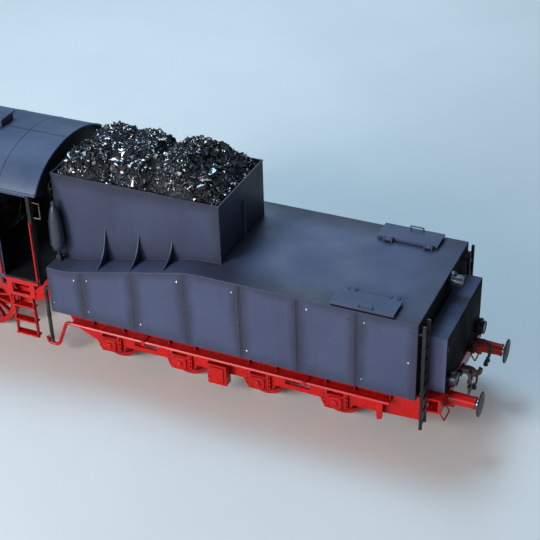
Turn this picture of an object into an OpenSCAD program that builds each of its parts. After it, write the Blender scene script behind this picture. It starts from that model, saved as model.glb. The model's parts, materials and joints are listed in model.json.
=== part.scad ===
// Four-axle rigid-frame tender with the cab end of its locomotive, gauge 1 (45 mm track, 1:32).
// Lengths are millimetres. The design frame has x = 0 at the rearmost tender axle and +X towards
// the locomotive, +Y to the left and z = 0 on top of the rails; place() moves it to the part's frame.

/* [Track and wheels] */
// Diameter of the tender wheels on the tread
wheel_d = 31; // [30:0.5:31.5]
// Diameter of the locomotive's last coupled wheels on the tread
driver_d = 44; // [43:0.5:44.5]
// Height of the flange outside the tread
flange_h = 0.9; // [0.8:0.1:1.1]
// Distance between the wheels' back faces
back_to_back = 40.3; // [40:0.1:40.5]
// Width of a tyre over the flange
tyre_w = 5.5; // [5.2:0.1:5.8]
// Spacing of the outer pairs of tender axles
pair_gap = 50; // [49.5:0.5:50.5]
// Spacing of the two middle tender axles
middle_gap = 53; // [52.5:0.5:54]

/* [Tender frame] */
// Distance of the frame plates' outer faces from the centre line
frame_y = 34.2; // [34:0.1:34.6]
// Thickness of a frame plate
frame_t = 1.6; // [1.4:0.1:1.8]
// Height of the frame plates' top edge
frame_top = 39.5; // [39:0.5:40]
// Height of the frame plates' bottom edge between the axles
frame_bottom = 15; // [14.5:0.5:16]
// Height of the ledge along the outside of the frame
ledge_z = 27.5; // [27:0.5:28]
// Distance of the ledge's edge from the centre line
ledge_y = 39.8; // [39:0.1:40.5]

/* [Tank and bunker] */
// Width of the water tank
tank_w = 93.2; // [92.8:0.1:94]
// Height of the tank's top
tank_top = 91.5; // [90:0.5:93]
// Height of the tank's shelf at its front end
shelf_front_z = 72; // [71:0.5:74]
// Thickness of the tank's and the cab's sheets
sheet = 1; // [0.8:0.1:1.2]
// Width of the coal bunker
bunker_w = 61; // [60.5:0.5:62]
// Height of the coal bunker's rim
bunker_top = 130; // [127:0.5:131]
// Height of the coal heap above the rim
heap_h = 18; // [12:1:21]

/* [Cab] */
// Width of the cab
cab_w = 90.6; // [90:0.2:91]
// Height of the cab roof's eaves
eave_z = 119.7; // [119:0.1:121]
// Height of the cab floor
floor_z = 57.8; // [57.6:0.1:58]

/* [Buffers and coupling] */
// Distance between the buffers' centre lines
buffer_gap = 54.6; // [54:0.2:55]
// Height of the buffers
buffer_z = 33; // [32.8:0.1:33.4]
// Diameter of a buffer head
buffer_head_d = 15; // [14:0.5:15.5]
// Radial clearance of a shaft that turns or slides in its hole
run_fit = 0.06; // [0.04:0.01:0.08]

/* [Hidden] */
$fn = 48;

// Axle positions, from the rear
axles = [0, pair_gap, pair_gap + middle_gap, 2 * pair_gap + middle_gap];
driver_x = 253;
axle_z = wheel_d / 2;
driver_z = driver_d / 2;
wheel_back_y = back_to_back / 2;
wheel_face_y = wheel_back_y + tyre_w;
frame_inner_y = frame_y - frame_t;
// Ends of the tender's parts along the length
frame_rear_x = -60;
frame_front_x = 186;
beam_face_x = -65.6;
beam_half_w = 41;
tank_rear_x = -52.5;
tank_front_x = 186.5;
bunker_rear_x = 73.5;
bunker_front_x = 185.5;
bunker_sheet = 0.8;
// The shelf beside the bunker: level at the front, then rising in a straight slope
shelf_flat_x = 172;
slope_top_x = 88;
// Axlebox
box_half = 5.3;
box_out_y = 36.5;
journal_r = 1.5;
// Hatches on the tank top
hatch_x0 = -38;
hatch_x1 = -0.5;
hatch_y0 = 30;
hatch_y1 = 45.8;
coaming_h = 1;
lid_t = 1.1;
hinge_y = 28.9;
hinge_z = tank_top + 1.7;
hinge_pin_r = 0.6;
// Buffers
sleeve_end_x = -82.5;
head_face_x = -86;
shank_r = 2.5;
// Brake gear: each hanger turns on a shaft behind and above its wheel
brake_back = 19.5;
brake_shaft_z = 34;
brake_shaft_r = 1.2;
shoe_gap = 0.6;
// Drawbar between the tender and the locomotive
tender_pin_x = 178;
loco_pin_x = 206;
drawbar_z0 = 31;
drawbar_z1 = 34;
drawbar_pin_r = 1.5;
// Locomotive frame and cab
loco_rear_x = 196;
section_front_x = 278;
loco_frame_y = 18;
loco_frame_t = 2;
loco_frame_top = 50;
cab_rear_x = 193.2;
cab_front_x = 269;
door_x0 = 195.6;
door_x1 = 219;
door_top = 118.6;
roof_rear_x = 188.4;
// The roof's section: a flat crown arc that runs into tighter shoulder arcs
crown_r = 72;
shoulder_r = 36.5;
shoulder_a = 22;
eave_a = 60;
roof_drop = crown_r * (1 - cos(shoulder_a)) + shoulder_r * (cos(shoulder_a) - cos(eave_a));
crown_z = eave_z + roof_drop;
fall_hinge_x = 196.6;
fall_hinge_z = floor_z + 1.15;
// Middle of the whole length, and the colours
mid_x = (head_face_x + section_front_x) / 2;
body_blue = [0.25, 0.27, 0.36];
frame_red = [0.78, 0.10, 0.09];
black = [0.08, 0.08, 0.09];
steel = [0.55, 0.56, 0.58];

// ---- helpers ----

module place() {
    translate([-mid_x, 0, flange_h]) children();
}

module both_sides() {
    children();
    mirror([0, 1, 0]) children();
}

// A box between two corners
module block(lo, hi) {
    translate(lo) cube(hi - lo);
}

// Extrudes an outline drawn in x and z from y0 to y1
module side_plate(y0, y1) {
    translate([0, y1, 0]) rotate([90, 0, 0]) linear_extrude(y1 - y0) children();
}

// Extrudes an outline drawn in y and z from x0 to x1
module cross_plate(x0, x1) {
    translate([x0, 0, 0]) rotate([90, 0, 90]) linear_extrude(x1 - x0) children();
}

// A cylinder along Y from y0 to y1 about a point in x and z
module y_cylinder(x, z, r, y0, y1) {
    translate([x, y1, z]) rotate([90, 0, 0]) cylinder(r = r, h = y1 - y0);
}

// A cylinder along X from x0 to x1 about a point in y and z
module x_cylinder(y, z, r, x0, x1) {
    translate([x0, y, z]) rotate([0, 90, 0]) cylinder(r = r, h = x1 - x0);
}

module rod(a, b, r) {
    d = b - a;
    translate(a) rotate([0, acos(d[2] / norm(d)), atan2(d[1], d[0])]) cylinder(r = r, h = norm(d));
}

// A round bar through a list of points, with a ball at each bend
module bent_rod(points, r) {
    for (i = [0:len(points) - 2]) rod(points[i], points[i + 1], r);
    for (i = [1:len(points) - 2]) translate(points[i]) sphere(r = r);
}

// Points of a curve from a to c that is drawn towards b
function bend(a, b, c, n) =
    [for (i = [0:n]) let (t = i / n) (1 - t) * (1 - t) * a + 2 * t * (1 - t) * b + t * t * c];

// Points on an arc about the origin
function arc(r, a0, a1, n) = [for (i = [0:n]) let (a = a0 + (a1 - a0) * i / n) r * [cos(a), sin(a)]];

function unit(v) = v / norm(v);

// A path with its inner corners rounded off over a length r
function rounded(points, r) = let (last = len(points) - 1)
    concat([points[0]],
        [for (i = [1:last - 1]) each bend(points[i] + r * unit(points[i - 1] - points[i]), points[i],
            points[i] + r * unit(points[i + 1] - points[i]), 3)],
        [points[last]]);

// A tube of constant radius swept along a path; side_dir is a direction that the path never takes
module sweep(path, r, side_dir, sides = 8) {
    last = len(path) - 1;
    rings = [for (i = [0:last])
        let (
            t = path[min(i + 1, last)] - path[max(i - 1, 0)],
            u = cross(t, side_dir) / norm(cross(t, side_dir)),
            v = cross(u, t) / norm(cross(u, t))
        )
        for (k = [0:sides - 1])
            let (a = 360 * k / sides) path[i] + r * (cos(a) * u + sin(a) * v)];
    skin = [for (i = [0:last - 1]) for (k = [0:sides - 1])
        let (m = (k + 1) % sides)
        [i * sides + k, i * sides + m, (i + 1) * sides + m, (i + 1) * sides + k]];
    ends = [[for (k = [sides - 1:-1:0]) k], [for (k = [0:sides - 1]) last * sides + k]];
    polyhedron(points = rings, faces = concat(skin, ends));
}

// ---- outlines ----

// Side view of the tank, moved inwards by inset, with its bottom edge at z0
function tank_outline(inset, z0) = concat(
    [[tank_rear_x + inset, z0], [tank_front_x - inset, z0],
     [tank_front_x - inset, shelf_front_z - inset]],
    bend([shelf_flat_x + 4, shelf_front_z - inset], [shelf_flat_x, shelf_front_z - inset],
        [shelf_flat_x - 5, shelf_front_z + 1.2 - inset], 4),
    bend([slope_top_x + 8, tank_top - 1.9 - inset], [slope_top_x, tank_top - inset],
        [slope_top_x - 9, tank_top - inset], 5),
    [[tank_rear_x + inset, tank_top - inset]]);

// Height of the shelf beside the bunker at x
function shelf_z(x) = shelf_front_z
    + (tank_top - shelf_front_z) * (shelf_flat_x - x) / (shelf_flat_x - slope_top_x);

// Height of the tank's top edge at x
function top_edge_z(x) = min(tank_top, max(shelf_front_z, shelf_z(x)));

// Half of the roof's section from the crown to the eave, moved inwards by inset
function roof_half(inset) = concat(
    [for (p = arc(crown_r - inset, 90, 93 - shoulder_a, 5)) [p[0], crown_z - crown_r + p[1]]],
    [for (p = arc(shoulder_r - inset, 90 - shoulder_a, 90 - eave_a, 7))
        [(crown_r - shoulder_r) * sin(shoulder_a) + p[0],
         crown_z - crown_r + (crown_r - shoulder_r) * cos(shoulder_a) + p[1]]]);

// The roof's whole section from the right eave to the left one; the crown point is used once
function roof_line(inset) = let (half = roof_half(inset))
    concat([for (i = [len(half) - 1:-1:1]) [-half[i][0], half[i][1]]], half);

function reversed(points) = [for (i = [len(points) - 1:-1:0]) points[i]];

// ---- tender frame ----

module frame_plates() {
    lug_bottom = 8.4;
    lower_edge = [for (a = axles) each [[a - 10.5, frame_bottom], [a - 7.6, lug_bottom],
        [a + 7.6, lug_bottom], [a + 10.5, frame_bottom]]];
    color(frame_red) both_sides() difference() {
        side_plate(frame_inner_y, frame_y) polygon(concat(
            [[frame_rear_x, frame_top], [frame_rear_x, 29.7], [-54.6, 29.7],
     [-53.2, 16.5], [-20, frame_bottom]],
            lower_edge,
            [[172, 19], [178, 22], [frame_front_x, 37], [frame_front_x, frame_top]]));
        for (a = axles) block([a - box_half - 0.1, frame_inner_y - 1, lug_bottom + 1.4],
            [a + box_half + 0.1, frame_y + 1, 21.2]);
        // Pairs of slots under the tank's edge, and larger holes below the ledge
        for (x = [-43, -25, -3, 22, 46, 66, 84, 101, 120, 150]) for (s = [-2.8, 2.8])
            block([x + s - 1.8, frame_inner_y - 1, 35.6], [x + s + 1.8, frame_y + 1, 38]);
        for (x = [25, 128])
            block([x - 8, frame_inner_y - 1, 18], [x + 8, frame_y + 1, 24]);
        // Holes that carry the brake shafts
        for (a = axles) y_cylinder(a - brake_back, brake_shaft_z, brake_shaft_r, frame_inner_y - 1,
            frame_y + 1);
    }
}

module frame_stretchers() {
    color(frame_red) {
        for (x = [axles[0] - 35, (axles[0] + axles[1]) / 2, (axles[1] + axles[2]) / 2,
            (axles[2] + axles[3]) / 2])
            difference() {
                block([x - 1, -frame_inner_y, 22], [x + 1, frame_inner_y, frame_top]);
                for (y = [-18, 0, 18]) x_cylinder(y, 31, 4.5, x - 2, x + 2);
            }
        // Rear drag box behind the beam
        block([frame_rear_x, -frame_inner_y, 31.5], [tank_rear_x, frame_inner_y, 33.5]);
        // Front drag box: two plates, a back plate and the drawbar's pin
        block([171, -frame_inner_y, 28.5], [181, frame_inner_y, 30]);
        block([171, -frame_inner_y, 35], [184.5, frame_inner_y, 36.5]);
        block([171, -frame_inner_y, 28.5], [172.2, frame_inner_y, frame_top]);
        translate([tender_pin_x, 0, 27.5]) cylinder(r = drawbar_pin_r, h = 10.2);
        translate([tender_pin_x, 0, 36.5]) cylinder(r = 2.6, h = 1.2);
    }
}

module buffer_beam() {
    flange_t = 1.2;
    color(frame_red) difference() {
        union() {
            block([beam_face_x, -beam_half_w, 29.7], [beam_face_x + 1.6, beam_half_w, frame_top]);
            for (z = [29.7, frame_top - flange_t]) {
                block([beam_face_x, -beam_half_w, z], [frame_rear_x, beam_half_w, z + flange_t]);
                both_sides() block([frame_rear_x, frame_y, z], [-57, beam_half_w, z + flange_t]);
            }
        }
        // Slot for the drawhook's shank
        block([beam_face_x - 1, -1.6, buffer_z - 2.2], [beam_face_x + 2, 1.6, buffer_z + 2.2]);
    }
}

module axleboxes() {
    color(frame_red) both_sides() for (a = axles) difference() {
        union() {
            block([a - box_half, 30.6, axle_z - 5.2], [a + box_half, box_out_y, axle_z + 5.2]);
            // Lips that guide the box on the frame plate
            block([a - box_half - 1.6, frame_y + 0.1, axle_z - 4.6],
                [a + box_half + 1.6, frame_y + 1, axle_z + 5.2]);
            for (s = [-1, 1]) block([a + s * 5.9 - 0.8, frame_y + 0.1, axle_z - 4.6],
                [a + s * 5.9 + 0.8, frame_y + 1.9, axle_z + 7.4]);
        }
        y_cylinder(a, axle_z, journal_r + run_fit, 30, 35.4);
    }
}

module axlebox_covers() {
    color(frame_red) both_sides() for (a = axles) {
        block([a - 4.4, box_out_y, axle_z - 4], [a + 4.4, box_out_y + 0.8, axle_z + 4]);
        y_cylinder(a, axle_z, 3, box_out_y, box_out_y + 1.7);
        for (s = [-1, 1]) y_cylinder(a + s * 3.5, axle_z - 3.1, 0.55, box_out_y, box_out_y + 1.3);
        for (s = [-1, 1]) y_cylinder(a + s * 3.5, axle_z + 3.1, 0.55, box_out_y, box_out_y + 1.3);
    }
}

module leaf_springs() {
    leaf_t = 1.1;
    color(black) both_sides() for (a = axles) {
        for (i = [0:3]) block([a - 6 - 2.6 * i, 27.8, 21.2 + leaf_t * i],
            [a + 6 + 2.6 * i, 31.2, 21.2 + leaf_t * (i + 1)]);
        block([a - 1.8, 27.4, axle_z + 5.2], [a + 1.8, 31.6, 26.4]);
    }
}

module running_ledges() {
    color(frame_red) both_sides() {
        block([-35, frame_y, ledge_z - 0.6], [178, ledge_y, ledge_z + 0.6]);
        // Round bar along the ledge's edge
        x_cylinder(ledge_y, ledge_z, 1, -35, 178);
        // Upright webs that carry the tank's edge
        for (x = [-34, -12, 6, 38, 56, 92, 110, 142, 164])
            side_web(x);
        // Lugs that clamp the ledge's joints
        for (x = [17.8, 126])
            block([x - 1.3, frame_y, ledge_z - 2.2], [x + 1.3, ledge_y + 1.3, ledge_z + 1.3]);
    }
}

module side_web(x) {
    cross_plate(x - 0.5, x + 0.5) polygon([[frame_y, ledge_z + 0.6], [frame_y + 2, ledge_z + 0.6],
        [frame_y + 1.4, frame_top], [frame_y, frame_top]]);
}

module equipment_box() {
    color(frame_red) {
        difference() {
            block([69.5, frame_y, 9.5], [82, 40.2, 24]);
            block([70.5, frame_y - 1, 10.5], [81, 39.2, 23]);
        }
        block([71.3, 40.2, 11.3], [80.2, 40.8, 22.2]);
        for (z = [13.5, 20]) x_cylinder(40.7, z, 0.5, 79.4, 81.6);
    }
}

module footsteps() {
    wire_r = 0.5;
    hook = [-62.6, 28.2];
    rung = [-66.6, 21.5];
    wire = rounded([[hook[0], 35.5, 29.7], [hook[0], 35.5, hook[1]], [rung[0], 35.5, rung[1]],
        [rung[0], 25.5, rung[1]], [hook[0], 25.5, hook[1]], [hook[0], 25.5, 29.7]], 0.9);
    stirrup = rounded([[178, ledge_y, ledge_z], [181.6, ledge_y, ledge_z], [189.4, ledge_y, 8.4],
        [196.8, ledge_y, 8.4], [197.4, ledge_y, 12.6]], 1.9);
    color(frame_red) both_sides() {
        // Front stirrup, bent from the bar along the ledge, that carries the foot of the feed pipe
        sweep(stirrup, 1.15, [0, 1, 0], 12);
        // Wire step under the beam
        sweep(wire, wire_r, [1, 0, 0]);
    }
}

module guard_irons() {
    color(frame_red) both_sides() side_plate(36.4, 37.8) polygon([[-30.4, ledge_z - 0.6],
        [-29.8, 13], [-29, 12.2], [-27.2, 12.2], [-26.4, 13], [-25.8, ledge_z - 0.6]]);
}

module brake_shafts() {
    color(steel) for (a = axles)
        y_cylinder(a - brake_back, brake_shaft_z, brake_shaft_r, -frame_y, frame_y);
}

// ---- tank and bunker ----

module tank_shell() {
    color(body_blue) difference() {
        side_plate(-tank_w / 2, tank_w / 2) polygon(tank_outline(0, frame_top));
        side_plate(-tank_w / 2 + sheet, tank_w / 2 - sheet) polygon(tank_outline(sheet, frame_top - 1));
        both_sides() block([hatch_x0 + 2, hatch_y0 + 2, tank_top - 5],
            [hatch_x1 - 2, hatch_y1 - 2, tank_top + 1]);
    }
}

// Bolts of the side sheets: two at the top and one at the bottom of each seam, and a row at each end
module side_bolts() {
    seams = [-16.6, 17.8, 55, 90.6, 126, 162.5];
    upper = [for (s = seams) for (x = [s - 4.7, s + 4.7]) [x, top_edge_z(x) - 6.3]];
    lower = [for (s = seams) [s - 3.5, 46]];
    rear = [for (z = [46, 65, 85]) [tank_rear_x + 5, z]];
    front = [for (z = [47, 68]) [tank_front_x - 3, z]];
    color(steel) both_sides() for (p = concat(upper, lower, rear, front))
        y_cylinder(p[0], p[1], 0.7, tank_w / 2, tank_w / 2 + 0.4);
}

module tank_floor() {
    color(body_blue) {
        block([tank_rear_x + sheet, -tank_w / 2 + sheet, frame_top],
            [tank_front_x - sheet, tank_w / 2 - sheet, frame_top + 1.2]);
        // Deck in front of the tank that the cab's fall plate rests on
        block([tank_front_x, -13, floor_z - 2], [190, 13, floor_z - 0.3]);
        both_sides() block([tank_front_x, 11.8, floor_z - 6], [tank_front_x + 1.6, 13, floor_z - 2]);
    }
}

module bunker_shell() {
    rim = 0.3;
    half = bunker_w / 2;
    color(body_blue) difference() {
        union() {
            block([bunker_rear_x, -half, 60], [bunker_front_x, half, bunker_top]);
            block([bunker_rear_x - rim, -half - rim, bunker_top - 1],
                [bunker_front_x + rim, half + rim, bunker_top]);
        }
        block([bunker_rear_x + bunker_sheet, -half + bunker_sheet, 50],
            [bunker_front_x - bunker_sheet, half - bunker_sheet, bunker_top + 1]);
        side_plate(-tank_w, tank_w) polygon(tank_outline(0, 40));
    }
}

module bunker_stiffeners() {
    half = bunker_w / 2;
    color(body_blue) {
        both_sides() for (x = [151, 128, 105.5]) let (foot_z = shelf_z(x - 0.5))
            cross_plate(x - 0.45, x + 0.45) polygon(concat([[half, foot_z]],
                bend([tank_w / 2 - 0.6, foot_z], [half + 3.5, foot_z + 1.5], [half, 100], 8)));
        block([bunker_rear_x - 1.2, -2.2, tank_top], [bunker_rear_x, -1.2, 117]);
    }
}

module coal_load() {
    gap = 0.15;
    half = bunker_w / 2 - bunker_sheet - gap;
    x0 = bunker_rear_x + bunker_sheet + gap;
    x1 = bunker_front_x - bunker_sheet - gap;
    color(black) difference() {
        union() {
            block([x0, -half, 60], [x1, half, bunker_top - 4]);
            hull() {
                block([x0, -half, bunker_top - 4], [x1, half, bunker_top - 1.5]);
                block([x0 + 12, -half + 9, bunker_top], [x1 - 10, half - 9, bunker_top + heap_h * 0.6]);
                block([x0 + 34, -half + 18, bunker_top], [x1 - 30, half - 18, bunker_top + heap_h]);
            }
        }
        side_plate(-tank_w, tank_w) polygon(tank_outline(-gap, 40));
    }
}

module storage_tubes() {
    tube_x = 183;
    tube_y = bunker_w / 2 + 5;
    belly = bend([0.9, 78.4], [4.1, 78.4], [4.5, 87], 5);
    shoulder = bend([4.2, 96], [3.6, 107], [1.3, 110.6], 5);
    color(body_blue) both_sides() {
        translate([tube_x, tube_y, 0]) rotate_extrude()
            polygon(concat([[0, 76]], [[0.9, 76]], belly, shoulder, [[1.3, 113.4], [0, 113.4]]));
        for (strap = [[84, 4.6], [100, 4.2]]) {
            block([tube_x - 3, bunker_w / 2, strap[0]], [tube_x + 0.4, tube_y - 1, strap[0] + 1.2]);
            translate([tube_x, tube_y, strap[0]]) cylinder(r = strap[1], h = 1.2);
        }
        block([tube_x - 1.5, tube_y - 1.5, shelf_front_z], [tube_x + 1.5, tube_y + 1.5, 76]);
    }
}

module rear_tool_box() {
    color(body_blue) difference() {
        block([beam_face_x, -34, frame_top], [tank_rear_x, 34, 77]);
        block([beam_face_x + sheet, -33, frame_top + sheet], [tank_rear_x + 1, 33, 76]);
    }
}

module rear_ladders() {
    ladder_x = -55.6;
    color(black) both_sides() {
        for (y = [37.4, 45.2]) block([ladder_x - 0.9, y - 0.5, 19], [ladder_x + 0.9, y + 0.5, 90.5]);
        for (z = [22:8.5:88]) y_cylinder(ladder_x, z, 0.5, 37.4, 45.2);
        for (y = [37.4, 45.2]) for (z = [42, 84.5])
            block([ladder_x, y - 0.6, z], [tank_rear_x, y + 0.6, z + 1.2]);
    }
}

// ---- hatches ----

module hatch_coamings() {
    color(body_blue) both_sides() {
        difference() {
            block([hatch_x0 + 1, hatch_y0 + 1, tank_top],
                [hatch_x1 - 1, hatch_y1 - 1, tank_top + coaming_h]);
            block([hatch_x0 + 2, hatch_y0 + 2, tank_top - 1],
                [hatch_x1 - 2, hatch_y1 - 2, tank_top + 3]);
        }
        for (x = [-33, -8]) {
            for (s = [-1, 1]) {
                side_x = x + s * 2.3;
                y_lug(side_x - 0.5, side_x + 0.5);
            }
            x_cylinder(hinge_y, hinge_z, hinge_pin_r, x - 2.8, x + 2.8);
        }
    }
}

// A hinge lug standing on the tank top
module y_lug(x0, x1) {
    block([x0, hinge_y - 1.1, tank_top], [x1, hinge_y + 1.1, hinge_z]);
    x_cylinder(hinge_y, hinge_z, 1.1, x0, x1);
}

module hatch_lid() {
    lid_z0 = tank_top + coaming_h + 0.1;
    color(body_blue) {
        difference() {
            block([hatch_x0, hatch_y0 + 0.3, lid_z0], [hatch_x1, hatch_y1, lid_z0 + lid_t]);
            for (x = [-33, -8])
                block([x - 3.2, hatch_y0, lid_z0 - 1], [x + 3.2, hatch_y0 + 0.9, lid_z0 + 2]);
        }
        for (x = [-33, -8]) difference() {
            union() {
                x_cylinder(hinge_y, hinge_z, 1.15, x - 1.5, x + 1.5);
                block([x - 1.5, hinge_y, hinge_z], [x + 1.5, hatch_y0 + 1.5, lid_z0 + lid_t]);
            }
            x_cylinder(hinge_y, hinge_z, hinge_pin_r + run_fit, x - 2, x + 2);
        }
        bent_rod([[-25, 44.2, lid_z0 + 1], [-25, 44.2, lid_z0 + 3.2], [-17, 44.2, lid_z0 + 3.2],
            [-17, 44.2, lid_z0 + 1]], 0.45);
    }
}

module hatch_lid_left() {
    hatch_lid();
}

module hatch_lid_right() {
    mirror([0, 1, 0]) hatch_lid();
}

// ---- rear end ----

// Middle of each lamp's back: x, y, z, and the lamp's length
lamps = [[tank_rear_x, -9, 87.6, 8.4], [beam_face_x, buffer_gap / 2, 46.5, 5.2],
    [beam_face_x, -buffer_gap / 2, 46.5, 5.2]];
lamp_r = 4.2;

module lamp_bodies() {
    color(black) for (p = lamps) {
        difference() {
            x_cylinder(p[1], p[2], lamp_r, p[0] - p[3], p[0] - 0.4);
            x_cylinder(p[1], p[2], lamp_r - 0.6, p[0] - p[3] - 1, p[0] - p[3] + 2.4);
        }
        x_cylinder(p[1], p[2], 1.6, p[0] - 0.5, p[0]);
        // Chimney
        translate([p[0] - 2.6, p[1], p[2] + lamp_r - 0.3]) cylinder(r = 1.7, h = 2);
    }
}

module lamp_lenses() {
    color([0.85, 0.86, 0.82]) for (p = lamps)
        x_cylinder(p[1], p[2], lamp_r - 0.65, p[0] - p[3] + 0.5, p[0] - p[3] + 1.6);
}

module buffer_sleeves() {
    y = buffer_gap / 2;
    color(frame_red) both_sides() difference() {
        union() {
            x_cylinder(y, buffer_z, 3.8, sleeve_end_x, sleeve_end_x + 1.4);
            translate([beam_face_x - 1, y, buffer_z]) rotate([0, -90, 0])
                cylinder(r1 = 4.1, r2 = 3.5, h = beam_face_x - 1 - sleeve_end_x);
            block([-70, y - 0.9, buffer_z - 6.2], [beam_face_x - 1, y + 0.9, buffer_z - 3]);
            block([beam_face_x - 1.2, y - 5.6, buffer_z - 3.3], [beam_face_x, y + 5.6, buffer_z + 5.9]);
            for (dy = [-4.4, 4.4]) for (dz = [-2.2, 4.6])
                x_cylinder(y + dy, buffer_z + dz, 0.7, beam_face_x - 2, beam_face_x);
        }
        x_cylinder(y, buffer_z, shank_r + run_fit, sleeve_end_x - 1, beam_face_x - 1.2);
    }
}

module buffer_head() {
    y = buffer_gap / 2;
    head_r = buffer_head_d / 2;
    dome_r = 40;
    dome = [for (i = [0:6]) let (r = head_r * i / 6)
        [r, head_face_x + dome_r - sqrt(dome_r * dome_r - r * r)]];
    color(black) translate([0, y, buffer_z]) rotate([0, 90, 0]) rotate_extrude() polygon(concat(dome,
        [[head_r, head_face_x + 1.5], [shank_r, head_face_x + 1.5], [shank_r, -74], [0, -74]]));
}

module buffer_head_left() {
    buffer_head();
}

module buffer_head_right() {
    mirror([0, 1, 0]) buffer_head();
}

// The coil spring between a shank's end and the beam
module buffer_spring() {
    turns = 4;
    wire_r = 0.32;
    coil_r = 1.9;
    x0 = -73.55;
    x1 = -67.2;
    path = [for (i = [0:turns * 12]) let (a = 30 * i)
        [x0 + (x1 - x0) * i / (turns * 12), buffer_gap / 2 + coil_r * cos(a), buffer_z + coil_r * sin(a)]];
    color(steel) sweep(path, wire_r, [1, 0, 0], 6);
}

module buffer_spring_left() {
    buffer_spring();
}

module buffer_spring_right() {
    mirror([0, 1, 0]) buffer_spring();
}

link_x = -71;
link_pin_r = 0.8;

module drawhook() {
    color(steel) {
        // Collar that bears on the beam's face
        difference() {
            block([beam_face_x - 1, -2.6, buffer_z - 3], [beam_face_x, 2.6, buffer_z + 3]);
            block([beam_face_x - 2, -1, buffer_z - 1.8], [beam_face_x + 1, 1, buffer_z + 1.8]);
        }
        side_plate(-1, 1) difference() {
            polygon([[-61, buffer_z - 1.8], [-67.5, buffer_z - 1.8], [-70, buffer_z - 2.6],
                [-74.5, buffer_z - 2.4], [-77.6, buffer_z + 0.4], [-78, buffer_z + 3.4],
                [-75.8, buffer_z + 4.6], [-74.6, buffer_z + 1.4], [-72.2, buffer_z + 2.2],
                [-70, buffer_z + 2.4], [-67.5, buffer_z + 1.8], [-61, buffer_z + 1.8]]);
            translate([link_x, buffer_z]) circle(r = link_pin_r + run_fit);
        }
    }
}

module coupling_link() {
    z1 = buffer_z - 5.4;
    foot_z = z1 - 9.4;
    color(steel) {
        y_cylinder(link_x, buffer_z, link_pin_r, -2.4, 2.4);
        for (s = [-1, 1]) block([link_x - 0.7, s * 2 - 0.6, z1], [link_x + 0.7, s * 2 + 0.6, buffer_z]);
        block([link_x - 1.1, -3, z1 - 1.6], [link_x + 1.1, 3, z1 + 0.2]);
        translate([link_x, 0, z1 - 5]) cylinder(r = 0.9, h = 4);
        block([link_x - 1, -2.6, z1 - 6.4], [link_x + 1, 2.6, z1 - 4.8]);
        for (s = [-1, 1]) rod([link_x, s * 2, z1 - 5.6], [link_x - 0.2, s * 2.4, foot_z], 0.55);
        y_cylinder(link_x - 0.2, foot_z, 0.6, -2.9, 2.9);
    }
}

module hoses() {
    hose_r = 0.7;
    top_r = 5;
    start_x = beam_face_x - 3;
    // Feed pipe from the tank's front wall down to the stirrup
    feed = rounded([[tank_front_x, ledge_y, 52], [194, ledge_y, 52], [194, ledge_y, 9.6]], 3);
    color(black) both_sides() {
        sweep(feed, 1.25, [0, 1, 0], 12);
        x_cylinder(ledge_y, 52, 2.2, tank_front_x, tank_front_x + 0.8);
    }
    color(black) for (y = [-9.4, -13.4, 14.5]) {
        x_cylinder(y, 41.5, 1.5, start_x - 0.4, beam_face_x);
        translate([start_x, y, 41]) cylinder(r = 1.4, h = 2.2);
        path = concat([[start_x, y, 41.8]],
            [for (p = arc(top_r, 0, 180, 10)) [start_x - top_r + p[0], y, 43.2 + p[1] * 0.9]],
            bend([start_x - 2 * top_r, y, 41], [start_x - 2 * top_r, y, 37],
                [start_x - 2 * top_r + 1.2, y, 35.5], 4));
        sweep(path, hose_r, [0, 1, 0], 10);
        translate([start_x - 2 * top_r + 1.3, y, 32.8]) cylinder(r = 1.5, h = 3.2);
    }
}

// ---- wheels and brakes ----

// One tender wheel on the left, as a disc wheel turned about its axle
module tender_wheel(x) {
    r = wheel_d / 2;
    translate([x, 0, axle_z]) rotate([-90, 0, 0]) rotate_extrude($fn = 96) polygon([[0, wheel_back_y - 0.7],
        [4.2, wheel_back_y - 0.7], [4.2, wheel_back_y + 1.6], [r - 3, wheel_back_y + 1.6],
        [r - 3, wheel_back_y], [r + flange_h, wheel_back_y], [r + flange_h, wheel_back_y + 0.8],
        [r, wheel_back_y + 1.3], [r, wheel_face_y], [r - 2.6, wheel_face_y],
        [r - 2.6, wheel_back_y + 3.4], [4.2, wheel_back_y + 3.4], [3.6, wheel_face_y + 0.5],
        [0, wheel_face_y + 0.5]]);
}

module wheelset(i) {
    x = axles[i];
    color(frame_red) {
        both_sides() tender_wheel(x);
        y_cylinder(x, axle_z, 2.2, -wheel_back_y, wheel_back_y);
        y_cylinder(x, axle_z, journal_r, -35, 35);
        y_cylinder(x, axle_z, 2.2, -27.3, 27.3);
    }
}

module wheelset_1() { wheelset(0); }
module wheelset_2() { wheelset(1); }
module wheelset_3() { wheelset(2); }
module wheelset_4() { wheelset(3); }

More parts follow.
